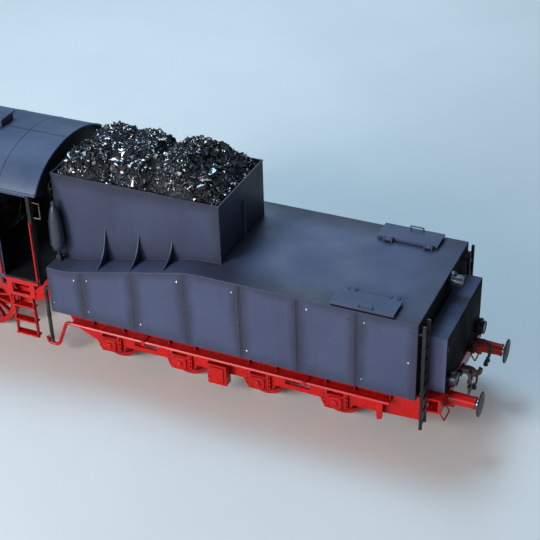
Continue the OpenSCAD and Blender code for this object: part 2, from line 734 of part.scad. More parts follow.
// Cross beam with its hangers and shoes, behind the wheels of axle i
module brake_beam(i) {
    x = axles[i] - brake_back;
    shoe_r = wheel_d / 2 + shoe_gap;
    shoe_y0 = wheel_back_y + 1.7;
    shoe_y1 = wheel_face_y - 0.2;
    color(frame_red) difference() {
        union() {
            both_sides() {
                y_cylinder(x, brake_shaft_z, 2.3, 22.6, 24.6);
                block([x - 1, 22.6, 12.5], [x + 1, 24.6, brake_shaft_z]);
                intersection() {
                    difference() {
                        y_cylinder(axles[i], axle_z, shoe_r + 2.2, shoe_y0, shoe_y1);
                        y_cylinder(axles[i], axle_z, shoe_r, shoe_y0 - 1, shoe_y1 + 1);
                    }
                    block([x - 3, shoe_y0, axle_z - 6.5], [axles[i] - 11, shoe_y1, axle_z + 6.5]);
                }
                block([x - 0.8, shoe_y0, axle_z - 1.6], [axles[i] - shoe_r - 0.6, shoe_y1, axle_z + 1.6]);
            }
            y_cylinder(x + 0.2, axle_z, 1.1, -shoe_y1, shoe_y1);
        }
        y_cylinder(x, brake_shaft_z, brake_shaft_r + run_fit, -26, 26);
    }
}

module brake_beam_1() { brake_beam(0); }
module brake_beam_2() { brake_beam(1); }
module brake_beam_3() { brake_beam(2); }
module brake_beam_4() { brake_beam(3); }

handbrake_y = -24;
handbrake_z = 66;

module handbrake_bracket() {
    color(black) {
        block([tank_front_x, handbrake_y - 3, handbrake_z - 6], [tank_front_x + 1, handbrake_y + 3, 71]);
        x_cylinder(handbrake_y, handbrake_z, 1.1, tank_front_x + 0.5, 190);
        x_cylinder(handbrake_y, handbrake_z, 1.9, 189.7, 190.4);
    }
}

module handbrake_lever() {
    color(black) {
        difference() {
            x_cylinder(handbrake_y, handbrake_z, 2.2, 187.8, 189.4);
            x_cylinder(handbrake_y, handbrake_z, 1.1 + run_fit, 187, 190);
        }
        block([187.9, handbrake_y - 0.8, handbrake_z + 1.8], [189.3, handbrake_y + 0.8, 88]);
        translate([188.6, handbrake_y, 88.8]) sphere(r = 1.5);
    }
}

// ---- drawbar and locomotive frame ----

module drawbar() {
    color(steel) difference() {
        union() {
            for (x = [tender_pin_x, loco_pin_x]) translate([x, 0, drawbar_z0])
                cylinder(r = 3.6, h = drawbar_z1 - drawbar_z0);
            block([tender_pin_x, -2.4, drawbar_z0], [loco_pin_x, 2.4, drawbar_z1]);
        }
        for (x = [tender_pin_x, loco_pin_x]) translate([x, 0, drawbar_z0 - 1])
            cylinder(r = drawbar_pin_r + run_fit, h = 6);
    }
}

splice_y = 24;
splice_z = 14;
splice_mid_z = 37;
splice_r = 1.1;

module loco_frame() {
    inner = loco_frame_y - loco_frame_t;
    color(frame_red) {
        both_sides() difference() {
            side_plate(inner, loco_frame_y) polygon([[loco_rear_x, loco_frame_top], [loco_rear_x, 27],
                [212, 24], [232, 16], [244, 12], [262, 12], [section_front_x, 24],
                [section_front_x, loco_frame_top]]);
            block([driver_x - 6.1, inner - 1, 5], [driver_x + 6.1, loco_frame_y + 1, 30]);
            block([218, inner - 1, 30], [236, loco_frame_y + 1, 42]);
        }
        for (z = [28.5, 35]) block([loco_rear_x, -inner, z], [213, inner, z + 1.5]);
        block([211.8, -inner, 28.5], [213, inner, 46]);
        translate([loco_pin_x, 0, 27.5]) cylinder(r = drawbar_pin_r, h = 10.2);
        translate([loco_pin_x, 0, 36.5]) cylinder(r = 2.6, h = 1.2);
        // Rear plate across the frame, above the drawbar
        block([loco_rear_x, -inner, 36.5], [loco_rear_x + 1.2, inner, loco_frame_top]);
        // Front stretcher, where the front part of the frame bolts on
        difference() {
            block([section_front_x - 2, -inner, 27], [section_front_x, inner, loco_frame_top]);
            for (sy = [-0.5, 0.5]) for (sz = [-0.5, 0.5])
                x_cylinder(sy * splice_y, splice_mid_z + sz * splice_z, splice_r,
                    section_front_x - 3, section_front_x + 1);
        }
    }
}

module loco_axleboxes() {
    color(frame_red) both_sides() difference() {
        block([driver_x - 6, loco_frame_y - 3.4, driver_z - 6], [driver_x + 6, loco_frame_y, driver_z + 6]);
        y_cylinder(driver_x, driver_z, 2.5 + run_fit, 10, 20);
    }
}

// The coupled wheel: rim and flange, spokes, crank boss and balance weight
module driving_wheel() {
    r = driver_d / 2;
    spokes = 15;
    translate([driver_x, 0, driver_z]) rotate([-90, 0, 0]) {
        rotate_extrude($fn = 96) polygon([[r - 3.2, wheel_back_y], [r + flange_h, wheel_back_y],
            [r + flange_h, wheel_back_y + 0.8], [r, wheel_back_y + 1.3], [r, wheel_face_y],
            [r - 3.2, wheel_face_y]]);
        translate([0, 0, wheel_back_y - 0.6]) cylinder(r = 5.6, h = tyre_w + 0.9);
        for (i = [0:spokes - 1]) rotate([0, 0, 360 * i / spokes])
            translate([4, -0.75, wheel_back_y + 1.2]) cube([r - 6.4, 1.5, 2.6]);
        translate([0, 8.6, wheel_back_y + 1]) cylinder(r = 3.4, h = tyre_w - 0.6);
        translate([0, 8.6, wheel_back_y + 1]) cylinder(r = 1.8, h = tyre_w + 3.4);
        intersection() {
            translate([0, 0, wheel_back_y + 1]) difference() {
                cylinder(r = r - 2.6, h = 3.4);
                translate([0, 8, -1]) cylinder(r = r - 1.6, h = 6);
            }
            translate([-r, -r, wheel_back_y]) cube([2 * r, r - 4, 8]);
        }
    }
}

module driving_wheelset() {
    color(frame_red) {
        both_sides() driving_wheel();
        y_cylinder(driver_x, driver_z, 2.5, -wheel_face_y, wheel_face_y);
    }
}

// ---- cab ----

module cab_floor() {
    half = cab_w / 2 - sheet;
    color(black) {
        difference() {
            block([cab_rear_x + 1, -half, floor_z - 1.5], [cab_front_x - sheet, half, floor_z]);
            block([248, -24.6, floor_z - 2], [cab_front_x, 24.6, floor_z + 1]);
        }
        for (x = [199, 222, 243]) block([x, -half, loco_frame_top], [x + 1.5, half, floor_z - 1.5]);
        for (s = [-1, 1]) {
            block([fall_hinge_x - 0.8, s * 12.3 - 0.7, floor_z],
                [fall_hinge_x + 0.8, s * 12.3 + 0.7, fall_hinge_z]);
            y_cylinder(fall_hinge_x, fall_hinge_z, 1, s * 12.3 - 0.7, s * 12.3 + 0.7);
        }
        y_cylinder(fall_hinge_x, fall_hinge_z, 0.55, -12.3, 12.3);
    }
}

module fall_plate() {
    rear_x = 188.2;
    color(black) difference() {
        union() {
            block([rear_x, -13, floor_z + 0.1], [fall_hinge_x - 1.3, 13, floor_z + 0.9]);
            block([fall_hinge_x - 1.5, -11.2, floor_z + 0.25], [fall_hinge_x, 11.2, floor_z + 0.9]);
            y_cylinder(fall_hinge_x, fall_hinge_z, 0.95, -11.2, 11.2);
        }
        y_cylinder(fall_hinge_x, fall_hinge_z, 0.55 + run_fit, -14, 14);
    }
}

// Side windows: first and last x of each
side_windows = [[224, 239], [243, 258]];
side_window_z = [84, 107];
front_window_y = [27.5, 40];
front_window_z = [88, 112];

module cab_shell() {
    half = cab_w / 2;
    skirt_z = floor_z - 2.4;
    gable_h = 16;
    color(body_blue) {
        both_sides() difference() {
            block([cab_rear_x, half - sheet, skirt_z], [cab_front_x, half, eave_z]);
            block([door_x0, half - 2, floor_z], [door_x1, half + 1, door_top]);
            for (w = side_windows)
                block([w[0], half - 2, side_window_z[0]], [w[1], half + 1, side_window_z[1]]);
        }
        // Rear gable: an arched band under the roof
        cross_plate(cab_rear_x, cab_rear_x + 1)
            polygon(concat(roof_line(sheet), reversed(roof_line(gable_h))));
        // Rear corner posts
        both_sides() block([cab_rear_x, half - 4, skirt_z], [cab_rear_x + 1, half - sheet, eave_z]);
        // Front wall with its two windows and the opening for the firebox
        difference() {
            cross_plate(cab_front_x - sheet, cab_front_x) polygon(concat(
                [[half - sheet, skirt_z], [half - sheet, eave_z - 0.1], [half - 2.1, eave_z - 0.1]],
                [for (p = roof_line(sheet)) if (abs(p[0]) < half - 2.2) [-p[0], p[1] - 0.05]],
                [[-half + 2.1, eave_z - 0.1], [-half + sheet, eave_z - 0.1], [-half + sheet, skirt_z]]));
            both_sides() block([cab_front_x - 3, front_window_y[0], front_window_z[0]],
                [cab_front_x + 1, front_window_y[1], front_window_z[1]]);
            block([cab_front_x - 3, -24.05, 40], [cab_front_x + 1, 24.05, 88]);
            x_cylinder(0, 88, 24.05, cab_front_x - 3, cab_front_x + 1);
        }
    }
}

module cab_roof() {
    half = cab_w / 2;
    color(body_blue) {
        difference() {
            cross_plate(roof_rear_x, 271) polygon(concat(roof_line(0), reversed(roof_line(sheet))));
            block([roof_rear_x - 1, -60, 100], [280, 60, eave_z]);
        }
        // Gutters at the eaves, on the side sheets
        both_sides() block([roof_rear_x, half - 2, eave_z], [271, half, eave_z + 1.1]);
    }
}

module roof_vent() {
    color(body_blue) {
        difference() {
            block([234.2, -6.6, crown_z - 3], [262, 6.6, crown_z + 4.2]);
            translate([200, 0, crown_z - crown_r]) rotate([0, 90, 0])
                cylinder(r = crown_r, h = 80, $fn = 192);
        }
        block([233, -7.6, crown_z + 4.2], [263.2, 7.6, crown_z + 5.4]);
    }
}

module cab_windows() {
    half = cab_w / 2;
    color([0.7, 0.8, 0.85]) {
        both_sides() for (w = side_windows)
            block([w[0], half - 0.8, side_window_z[0]], [w[1], half - 0.3, side_window_z[1]]);
        both_sides() block([cab_front_x - 0.8, front_window_y[0], front_window_z[0]],
            [cab_front_x - 0.3, front_window_y[1], front_window_z[1]]);
    }
}

module cab_steps() {
    color(frame_red) both_sides() {
        for (x = [201, 216]) block([x, 42.6, 13.2], [x + 1.2, 44.6, 46]);
        for (z = [14.7, 25.3, 36.3, 44.7]) block([201, 40.4, z - 0.5], [217.2, 45.6, z + 0.5]);
        // Sill along the bottom of the doorway, on a plate with an opening above the top tread
        block([door_x0 - 1, cab_w / 2, floor_z - 2.4], [219, cab_w / 2 + 1, floor_z - 0.3]);
        difference() {
            block([198.6, cab_w / 2 - 1, 44.4], [219, cab_w / 2, floor_z - 2.4]);
            block([202.2, cab_w / 2 - 2, 46.4], [215, cab_w / 2 + 1, floor_z - 4.4]);
        }
    }
}

module cab_handrails() {
    y = 46.35;
    face_y = cab_w / 2;
    color(frame_red) both_sides() {
        bent_rod([[194.4, face_y, 60], [194.4, y, 60], [194.4, y, 101], [194.4, face_y, 101]], 0.55);
        bent_rod([[220.6, face_y, 60], [220.6, y, 60], [220.6, y, 103], [220.6, face_y, 103]], 0.55);
        // Grab rail behind the rear corner post
        bent_rod([[cab_rear_x, 43, 114.5], [188, 43, 114.5], [188, 43, 104], [cab_rear_x, 43, 104]], 0.4);
    }
}

fire_door_z = 72;
regulator_z = 104;

module backhead() {
    color(black) {
        difference() {
            union() {
                block([249, -24, loco_frame_top], [cab_front_x, 24, 88]);
                x_cylinder(0, 88, 24, 249, cab_front_x);
            }
            block([251, -22, loco_frame_top + 2], [cab_front_x + 1, 22, 88]);
            x_cylinder(0, 88, 22, 251, cab_front_x + 1);
            // The fire hole
            x_cylinder(0, fire_door_z, 5.6, 248, 252);
        }
        // Hinge pin and lugs of the fire door
        for (z = [fire_door_z - 5.2, fire_door_z + 4]) block([246.6, -9.6, z], [249, -7.6, z + 1.2]);
        translate([247.4, -8.6, fire_door_z - 5.2]) cylinder(r = 0.6, h = 10.4);
        // Regulator stuffing box
        x_cylinder(0, regulator_z, 2.6, 247.6, 249);
        x_cylinder(0, regulator_z, 1, 244.6, 249);
        // Gauge glasses and pressure gauge
        for (y = [-11.5, 11.5]) {
            translate([247.4, y, 84]) cylinder(r = 0.7, h = 14);
            for (z = [84, 97]) x_cylinder(y, z, 0.9, 246.6, 249);
        }
        x_cylinder(12, 106, 3.6, 246.8, 249);
        // Feed and injector valves
        for (y = [-18, 18]) x_cylinder(y, 80, 1.7, 245.6, 249);
        for (y = [-18, 18]) x_cylinder(y, 80, 2.8, 244.8, 245.7);
    }
}

module fire_door() {
    color(black) difference() {
        union() {
            x_cylinder(0, fire_door_z, 6.6, 246.9, 248.5);
            block([246.9, -8.6, fire_door_z - 3.4], [247.9, 0, fire_door_z + 3.4]);
            translate([247.4, -8.6, fire_door_z - 3.7]) cylinder(r = 1.3, h = 7.4);
            x_cylinder(4.4, fire_door_z, 0.7, 244.6, 247);
        }
        translate([247.4, -8.6, fire_door_z - 6]) cylinder(r = 0.6 + run_fit, h = 12);
    }
}

module regulator_lever() {
    color(steel) difference() {
        union() {
            x_cylinder(0, regulator_z, 1.9, 245, 247.2);
            block([245.4, 0, regulator_z - 0.7], [246.6, 15, regulator_z + 0.7]);
            x_cylinder(15, regulator_z, 1, 243, 246.6);
        }
        x_cylinder(0, regulator_z, 1 + run_fit, 244, 248);
    }
}

reverser_y = -32;
reverser_z = 80;

module reverser_stand() {
    color(black) {
        block([231, reverser_y - 3, floor_z], [240, reverser_y + 3, floor_z + 1.2]);
        block([233, reverser_y - 1.6, floor_z], [238, reverser_y + 1.6, reverser_z - 1]);
        x_cylinder(reverser_y, reverser_z, 2.4, 231.5, 239);
        x_cylinder(reverser_y, reverser_z, 0.9, 226.5, 232);
    }
}

module reverser_wheel() {
    rim_r = 7;
    color(steel) difference() {
        union() {
            translate([228.6, reverser_y, reverser_z]) rotate([0, 90, 0])
                rotate_extrude() translate([rim_r, 0]) circle(r = 0.6, $fn = 16);
            x_cylinder(reverser_y, reverser_z, 1.9, 227.6, 229.8);
            for (a = [0:60:150]) translate([228.6, reverser_y, reverser_z]) rotate([a, 0, 0])
                cube([0.8, 2 * rim_r, 1], center = true);
            x_cylinder(reverser_y + rim_r, reverser_z, 0.6, 225, 228.6);
        }
        x_cylinder(reverser_y, reverser_z, 0.9 + run_fit, 226, 231);
    }
}

place() frame_plates();
place() frame_stretchers();
place() buffer_beam();
place() axleboxes();
place() axlebox_covers();
place() leaf_springs();
place() running_ledges();
place() equipment_box();
place() footsteps();
place() guard_irons();
place() brake_shafts();
place() tank_shell();
place() side_bolts();
place() tank_floor();
place() bunker_shell();
place() bunker_stiffeners();
place() coal_load();
place() storage_tubes();
place() rear_tool_box();
place() rear_ladders();
place() hatch_coamings();
place() hatch_lid_left();
place() hatch_lid_right();
place() lamp_bodies();
place() lamp_lenses();
place() buffer_sleeves();
place() buffer_head_left();
place() buffer_head_right();
place() buffer_spring_left();
place() buffer_spring_right();
place() drawhook();
place() coupling_link();
place() hoses();
place() wheelset_1();
place() wheelset_2();
place() wheelset_3();
place() wheelset_4();
place() brake_beam_1();
place() brake_beam_2();
place() brake_beam_3();
place() brake_beam_4();
place() handbrake_bracket();
place() handbrake_lever();
place() drawbar();
place() loco_frame();
place() loco_axleboxes();
place() driving_wheelset();
place() cab_floor();
place() fall_plate();
place() cab_shell();
place() cab_roof();
place() roof_vent();
place() cab_windows();
place() cab_steps();
place() cab_handrails();
place() backhead();
place() fire_door();
place() regulator_lever();
place() reverser_stand();
place() reverser_wheel();
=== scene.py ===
"""Looks of the steam tender with its locomotive's cab end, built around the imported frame.

Places are in metres, made by mm() and at(). The mesh helpers take radii, profiles and roundings in millimetres.
"""
import json
import math
import random

import bmesh
import bpy
from mathutils import Matrix, Vector, noise
from mathutils.bvhtree import BVHTree


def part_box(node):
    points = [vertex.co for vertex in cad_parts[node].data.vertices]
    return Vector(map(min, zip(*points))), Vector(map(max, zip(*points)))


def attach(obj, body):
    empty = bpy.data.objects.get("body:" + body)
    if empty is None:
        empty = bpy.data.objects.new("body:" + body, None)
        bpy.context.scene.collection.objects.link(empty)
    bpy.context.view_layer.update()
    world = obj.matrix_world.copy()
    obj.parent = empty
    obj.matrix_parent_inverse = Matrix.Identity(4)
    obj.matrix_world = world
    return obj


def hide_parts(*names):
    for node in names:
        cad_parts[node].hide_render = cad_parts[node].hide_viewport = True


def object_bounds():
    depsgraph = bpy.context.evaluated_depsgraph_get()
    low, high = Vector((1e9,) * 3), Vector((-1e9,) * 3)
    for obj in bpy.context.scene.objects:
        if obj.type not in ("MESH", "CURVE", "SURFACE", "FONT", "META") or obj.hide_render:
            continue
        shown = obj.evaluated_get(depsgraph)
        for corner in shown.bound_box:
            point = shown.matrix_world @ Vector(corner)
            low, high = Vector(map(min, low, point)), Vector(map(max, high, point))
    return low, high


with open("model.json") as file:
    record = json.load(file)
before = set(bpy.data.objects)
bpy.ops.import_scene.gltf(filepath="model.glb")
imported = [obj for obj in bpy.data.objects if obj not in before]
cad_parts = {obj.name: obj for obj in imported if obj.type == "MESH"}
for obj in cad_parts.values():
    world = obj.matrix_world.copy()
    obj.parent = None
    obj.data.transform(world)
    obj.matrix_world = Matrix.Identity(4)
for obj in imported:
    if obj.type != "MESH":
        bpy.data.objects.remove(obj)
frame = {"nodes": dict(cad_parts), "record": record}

cad_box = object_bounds()
random.seed(32)


def mm(*values):
    """Millimetres to metres: a number for one value, a Vector for three."""
    if len(values) == 1:
        return values[0] * 0.001
    return Vector(values) * 0.001


NODE_BODY = {n: body for body, nodes in frame["record"]["behaviour"]["bodies"].items() for n in nodes}
NODE_SLOT = {s["node"]: s["material_slot"] for s in frame["record"]["subparts"]}


class Box:
    """A CAD node's box at rest: its lowest and highest corners, middle and size."""

    def __init__(self, node):
        low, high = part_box(node)
        self.lo = Vector(low)
        self.hi = Vector(high)
        self.mid = (self.lo + self.hi) / 2
        self.size = self.hi - self.lo


REAR_AXLE = Box("wheelset_1").mid.x
RAIL_TOP = Box("wheelset_1").lo.z + mm(0.9)


def at(x, y, z):
    """A point in millimetres from the rear tender axle, the centre line and the rail's top."""
    return Vector((REAR_AXLE + mm(x), mm(y), RAIL_TOP + mm(z)))


UP, LEFT, FORWARD, REARWARD = (0, 0, 1), (0, 1, 0), (1, 0, 0), (-1, 0, 0)

# Places in the millimetres of at(): along X, or off the centre line for the outer faces
AXLES = (0, 50, 103, 153)
BEAM_REAR = -65.6
TANK_REAR = -52.5
TANK_FRONT = 186.5
FRAME_FACE = 34.2
CAB_FACE = 45.3

# The cover strips along the tank's sides: the first one's distance from the tank's rear end, and their pitch
PANEL_FIRST = mm(35.9)
PANEL_PITCH = mm(35.8)

# The tank's upper edge: level up to here, then falling forwards by this much per length, down to the shelf
SHOULDER_START = 88
SHOULDER_FALL = 0.232
SHELF_HEIGHT = 72


# ---- materials

NOISE_ROUGHNESS = 0.55


class Shader:
    """A short way to write a node tree that ends in one Principled BSDF."""

    def __init__(self, name):
        self.material = bpy.data.materials.new(name)
        self.material.use_nodes = True
        self.nodes = self.material.node_tree.nodes
        self.links = self.material.node_tree.links
        self.bsdf = self.nodes["Principled BSDF"]
        self.coords = self.add("ShaderNodeTexCoord").outputs["Object"]

    def add(self, kind, inputs=None, **settings):
        """A new node; inputs gives values or links for its sockets by name or number."""
        node = self.nodes.new(kind)
        for key, value in settings.items():
            setattr(node, key, value)
        for key, value in (inputs or {}).items():
            self.put(node.inputs[key], value)
        return node

    def put(self, socket, value):
        """Links an output, or sets a number or a colour of three parts, on an input socket."""
        if isinstance(value, bpy.types.NodeSocket):
            self.links.new(value, socket)
        else:
            socket.default_value = (*value, 1.0) if isinstance(value, tuple) else value

    def noise(self, scale, detail=4.0, stretch=(1, 1, 1)):
        """Clouds from 0 to 1; a larger stretch makes them finer along that axis."""
        mapping = self.add("ShaderNodeMapping", {"Vector": self.coords})
        mapping.inputs["Scale"].default_value = stretch
        tex = self.add("ShaderNodeTexNoise", {"Vector": mapping.outputs["Vector"], "Scale": scale,
                                              "Detail": detail, "Roughness": NOISE_ROUGHNESS})
        return tex.outputs["Fac"]

    def cells(self, scale):
        """One grey tone for each cell of a Voronoi pattern."""
        tex = self.add("ShaderNodeTexVoronoi", {"Vector": self.coords, "Scale": scale})
        return self.add("ShaderNodeRGBToBW", {"Color": tex.outputs["Color"]}).outputs[0]

    def math(self, operation, a, b=0.0):
        """One step of arithmetic."""
        return self.add("ShaderNodeMath", {0: a, 1: b}, operation=operation).outputs[0]

    def product(self, a, b):
        """Two values multiplied."""
        return self.math("MULTIPLY", a, b)

    def highest(self, first, *others):
        """The largest of several values."""
        for other in others:
            first = self.math("MAXIMUM", first, other)
        return first

    def wobble(self, scale, reach):
        """A smooth shift within half the reach each way, for uneven outlines."""
        return self.product(self.math("SUBTRACT", self.noise(scale, detail=3), 0.5), reach)

    def ramp(self, value, low, high, out_low=0.0, out_high=1.0):
        """Maps value from low..high to out_low..out_high with soft ends."""
        inputs = {"Value": value, "From Min": low, "From Max": high, "To Min": out_low, "To Max": out_high}
        return self.add("ShaderNodeMapRange", inputs, interpolation_type="SMOOTHSTEP").outputs["Result"]

    def mix(self, factor, a, b):
        """Colour a, or b where the factor is 1."""
        node = self.add("ShaderNodeMix", {"Factor": factor, "A": a, "B": b}, data_type="RGBA")
        return node.outputs["Result"]

    def part_of(self, vector, name):
        """The X, Y or Z of a vector."""
        return self.add("ShaderNodeSeparateXYZ", {0: vector}).outputs[name]

    def axis(self, name):
        """The place along X, Y or Z."""
        return self.part_of(self.coords, name)

    def normal(self):
        """The surface's direction."""
        return self.add("ShaderNodeNewGeometry").outputs["Normal"]

    def facing(self, name):
        """How far the surface faces along X, Y or Z, from -1 to 1."""
        return self.part_of(self.normal(), name)

    def edges(self, radius):
        """Near 1 on convex edges and 0 on flat surfaces."""
        rounded = self.add("ShaderNodeBevel", {"Radius": radius}, samples=4).outputs["Normal"]
        dot = self.add("ShaderNodeVectorMath", {0: rounded, 1: self.normal()}, operation="DOT_PRODUCT")
        return self.ramp(dot.outputs["Value"], 0.995, 0.88)

    def crevices(self, distance):
        """Near 1 in corners and gaps, from ambient occlusion: the mask for painted shade."""
        occlusion = self.add("ShaderNodeAmbientOcclusion", {"Distance": distance}, samples=4)
        return self.ramp(occlusion.outputs["AO"], 0.95, 0.35)

    def bump(self, height, strength, distance=mm(0.2)):
        """Raises the surface's grain."""
        node = self.add("ShaderNodeBump", {"Height": height, "Strength": strength, "Distance": distance})
        self.put(self.bsdf.inputs["Normal"], node.outputs["Normal"])

    def finish(self, color, roughness, metallic=0.0, specular=0.5):
        """Puts the last values on the shader and gives its material."""
        for key, value in (("Base Color", color), ("Roughness", roughness), ("Metallic", metallic),
                           ("Specular IOR Level", specular)):
            self.put(self.bsdf.inputs[key], value)
        return self.material


DUST = (0.23, 0.20, 0.18)
RUST = (0.13, 0.055, 0.03)
WORN = (0.16, 0.14, 0.14)


def painted(name, base, light, dark, rough=(0.40, 0.58), panels=None, chips=WORN, corner_shade=0.65,
            chip_amount=0.5, specular=0.28, dust=0.04, speck=0.35, streaks=0.25):
    """Airbrushed paint: cloudy tone, painted shade in corners and gaps, worn edges, streaks and dust."""
    s = Shader(name)
    clouds = s.ramp(s.noise(28, detail=5), 0.32, 0.70)
    color = s.mix(clouds, base, light)
    streak = s.ramp(s.noise(14, detail=7, stretch=(7, 7, 0.8)), 0.50, 0.78, 0.0, streaks)
    up = s.ramp(s.facing("Z"), 0.6, 1.0)
    color = s.mix(s.product(streak, s.math("SUBTRACT", 1.0, up)), color, dark)
    if panels:
        color = s.mix(panels(s), color, dark)
    # Painted shade: darker in corners and gaps, found by ambient occlusion.
    color = s.mix(s.product(s.crevices(mm(5)), corner_shade), color, dark)
    fine = s.noise(420, detail=3)
    color = s.mix(s.ramp(fine, 0.70, 0.76, 0.0, speck), color, DUST)
    dusty = s.product(s.product(up, dust), s.ramp(s.noise(60, detail=6), 0.4, 0.75))
    color = s.mix(dusty, color, DUST)
    chipped = s.product(s.edges(mm(0.45)), s.ramp(s.noise(300, detail=4), 0.44, 0.60))
    color = s.mix(s.product(chipped, chip_amount), color, chips)
    roughness = s.ramp(s.noise(40, detail=3), 0.2, 0.8, *rough)
    s.bump(s.math("ADD", s.product(fine, 0.5), s.noise(1400, detail=2)), 0.10)
    return s.finish(color, roughness, specular=specular)


def side_panels(s):
    """Dark sprayed bands along the tank's cover strips and along its edges."""
    tank = Box("tank_shell")
    x = s.axis("X")
    wobble = s.wobble(45, mm(7))
    z = s.math("ADD", s.axis("Z"), wobble)
    along = s.math("ADD", s.math("SUBTRACT", x, tank.lo.x + PANEL_FIRST - PANEL_PITCH * 10), wobble)
    turn = s.math("FRACT", s.math("DIVIDE", along, PANEL_PITCH))
    from_middle = s.math("ABSOLUTE", s.math("SUBTRACT", turn, 0.5))
    from_seam = s.product(s.math("SUBTRACT", 0.5, from_middle), PANEL_PITCH)
    seam = s.ramp(from_seam, mm(8), mm(1), 0.0, 0.60)
    core = s.ramp(from_seam, mm(2.5), mm(0), 0.0, 0.66)
    low = s.ramp(z, tank.lo.z + mm(11), tank.lo.z, 0.0, 0.40)
    start = at(SHOULDER_START, 0, SHELF_HEIGHT)
    slope = s.math("SUBTRACT", tank.hi.z + start.x * SHOULDER_FALL, s.product(x, SHOULDER_FALL))
    edge = s.math("MINIMUM", tank.hi.z, s.math("MAXIMUM", start.z, slope))
    brow = s.ramp(s.math("SUBTRACT", edge, z), mm(7), mm(0), 0.0, 0.5)
    rear = s.ramp(x, tank.lo.x + mm(8), tank.lo.x, 0.0, 0.6)
    front = s.ramp(x, tank.hi.x - mm(7), tank.hi.x, 0.0, 0.6)
    side = s.ramp(s.math("ABSOLUTE", s.facing("Y")), 0.6, 0.95)
    y = s.math("ADD", s.math("ABSOLUTE", s.axis("Y")), wobble)
    border = s.highest(s.ramp(y, mm(24), mm(46), 0.0, 0.72),
                       s.ramp(s.math("ADD", x, wobble), tank.lo.x + mm(26), tank.lo.x, 0.0, 0.38))
    border = s.product(border, s.ramp(x, at(105, 0, 0).x, at(75, 0, 0).x, 0.1, 1.0))
    top = s.ramp(s.facing("Z"), 0.6, 0.95)
    return s.highest(s.product(s.highest(seam, core, low, brow, rear, front), side), s.product(border, top))


def bunker_borders(s):
    """Darker, browner paint under the bunker's rim and at its corners."""
    bunker = Box("bunker_shell")
    wobble = s.wobble(50, mm(8))
    z = s.math("ADD", s.axis("Z"), wobble)
    x = s.math("ADD", s.axis("X"), wobble)
    return s.highest(s.ramp(z, bunker.hi.z - mm(11), bunker.hi.z, 0.0, 0.6),
                     s.ramp(x, bunker.lo.x + mm(9), bunker.lo.x, 0.0, 0.5),
                     s.ramp(x, bunker.hi.x - mm(9), bunker.hi.x, 0.0, 0.5))


def painted_top_shade(s):
    """Painted shade: darker on the faces that look up."""
    return s.ramp(s.facing("Z"), 0.6, 1.0, 0.0, 0.32)


def make_materials():
    """The record's slots and some more finishes, by name."""
    return {
        "tank": painted("tank_paint", (0.054, 0.066, 0.128), (0.062, 0.076, 0.148), (0.020, 0.016, 0.024),
                        panels=side_panels),
        "body_paint": painted("body_paint", (0.040, 0.050, 0.098), (0.050, 0.062, 0.118),
                              (0.010, 0.012, 0.022)),
        "bunker": painted("bunker_paint", (0.034, 0.042, 0.082), (0.044, 0.054, 0.104), (0.012, 0.011, 0.016),
                          panels=bunker_borders),
        "bottle": painted("bottle_paint", (0.022, 0.026, 0.044), (0.032, 0.038, 0.062), (0.006, 0.007, 0.010),
                          rough=(0.22, 0.36), specular=0.5),
        # The tool box paint is a lighter copy of the tank's, painted light against the tank's shadow on its
        # side, with painted shade on its top.
        "box": painted("tool_box_lit_paint", (0.094, 0.108, 0.194), (0.108, 0.124, 0.224), (0.010, 0.010, 0.013),
                       panels=painted_top_shade, chips=(0.16, 0.05, 0.035), chip_amount=0.9),
        # Near black for the faces that look rearwards, away from the lamps: painted shade.
        "rear_shade": painted("rear_face_shade_paint", (0.0035, 0.0038, 0.0045), (0.006, 0.0065, 0.008), (0.001,) * 3,
                        rough=(0.65, 0.9), chips=RUST, specular=0.10, dust=0.0, speck=0.2),
        "lid": painted("hatch_paint", (0.050, 0.064, 0.122), (0.060, 0.075, 0.142), (0.018, 0.018, 0.028),
                       corner_shade=0.30),
        "roof_paint": painted("roof_paint", (0.054, 0.075, 0.134), (0.078, 0.104, 0.174),
                              (0.011, 0.014, 0.024), rough=(0.30, 0.5)),
        "frame_red": painted("red_paint", (0.44, 0.004, 0.004), (0.54, 0.006, 0.005), (0.07, 0.002, 0.002),
                             rough=(0.20, 0.34), chips=(0.30, 0.03, 0.02), corner_shade=0.75, chip_amount=0.3,
                             dust=0.01, speck=0.1, streaks=0.2, specular=0.30),
        "wheel_red": painted("wheel_paint", (0.40, 0.005, 0.004), (0.48, 0.008, 0.006), (0.04, 0.003, 0.003),
                             rough=(0.25, 0.45), chips=(0.22, 0.12, 0.10), corner_shade=0.85, chip_amount=0.4,
                             dust=0.05, speck=0.3),
        "black_metal": painted("black_paint", (0.010, 0.010, 0.012), (0.022, 0.022, 0.026), (0.003,) * 3,
                               rough=(0.30, 0.5), chips=(0.07, 0.065, 0.06), dust=0.12),
        # Near black for the cab's inside, partly its own dark paint and partly painted shade; also painted
        # shade under the roof and on the cab's rear-facing faces, and the dark joints of the tool box doors.
        "inside": painted("cab_inside_and_shade_paint", (0.006, 0.0065, 0.008), (0.012, 0.013, 0.015),
                          (0.002, 0.002, 0.002), rough=(0.5, 0.7), chips=RUST, dust=0.02, speck=0.1,
                          chip_amount=0.1),
        "coal": coal_material("coal", 0.05, 0.25, 1.0),
        "slack": coal_material("coal_slack", 0.5, 0.8, 0.22),
        "bare_steel": steel_material(),
        "hose_rubber": rubber_material(),
        "lens_glass": glass_material("lens_glass", (0.85, 0.88, 0.86), 0.04),
        "window_glass": glass_material("window_glass", (0.05, 0.06, 0.06), 0.02),
        "bright": metal_material("worn_steel", (0.70, 0.70, 0.70), (0.36, 0.33, 0.31), 0.25),
        "brass": metal_material("worn_brass", (0.55, 0.36, 0.12), (0.30, 0.18, 0.06), 0.3),
    }


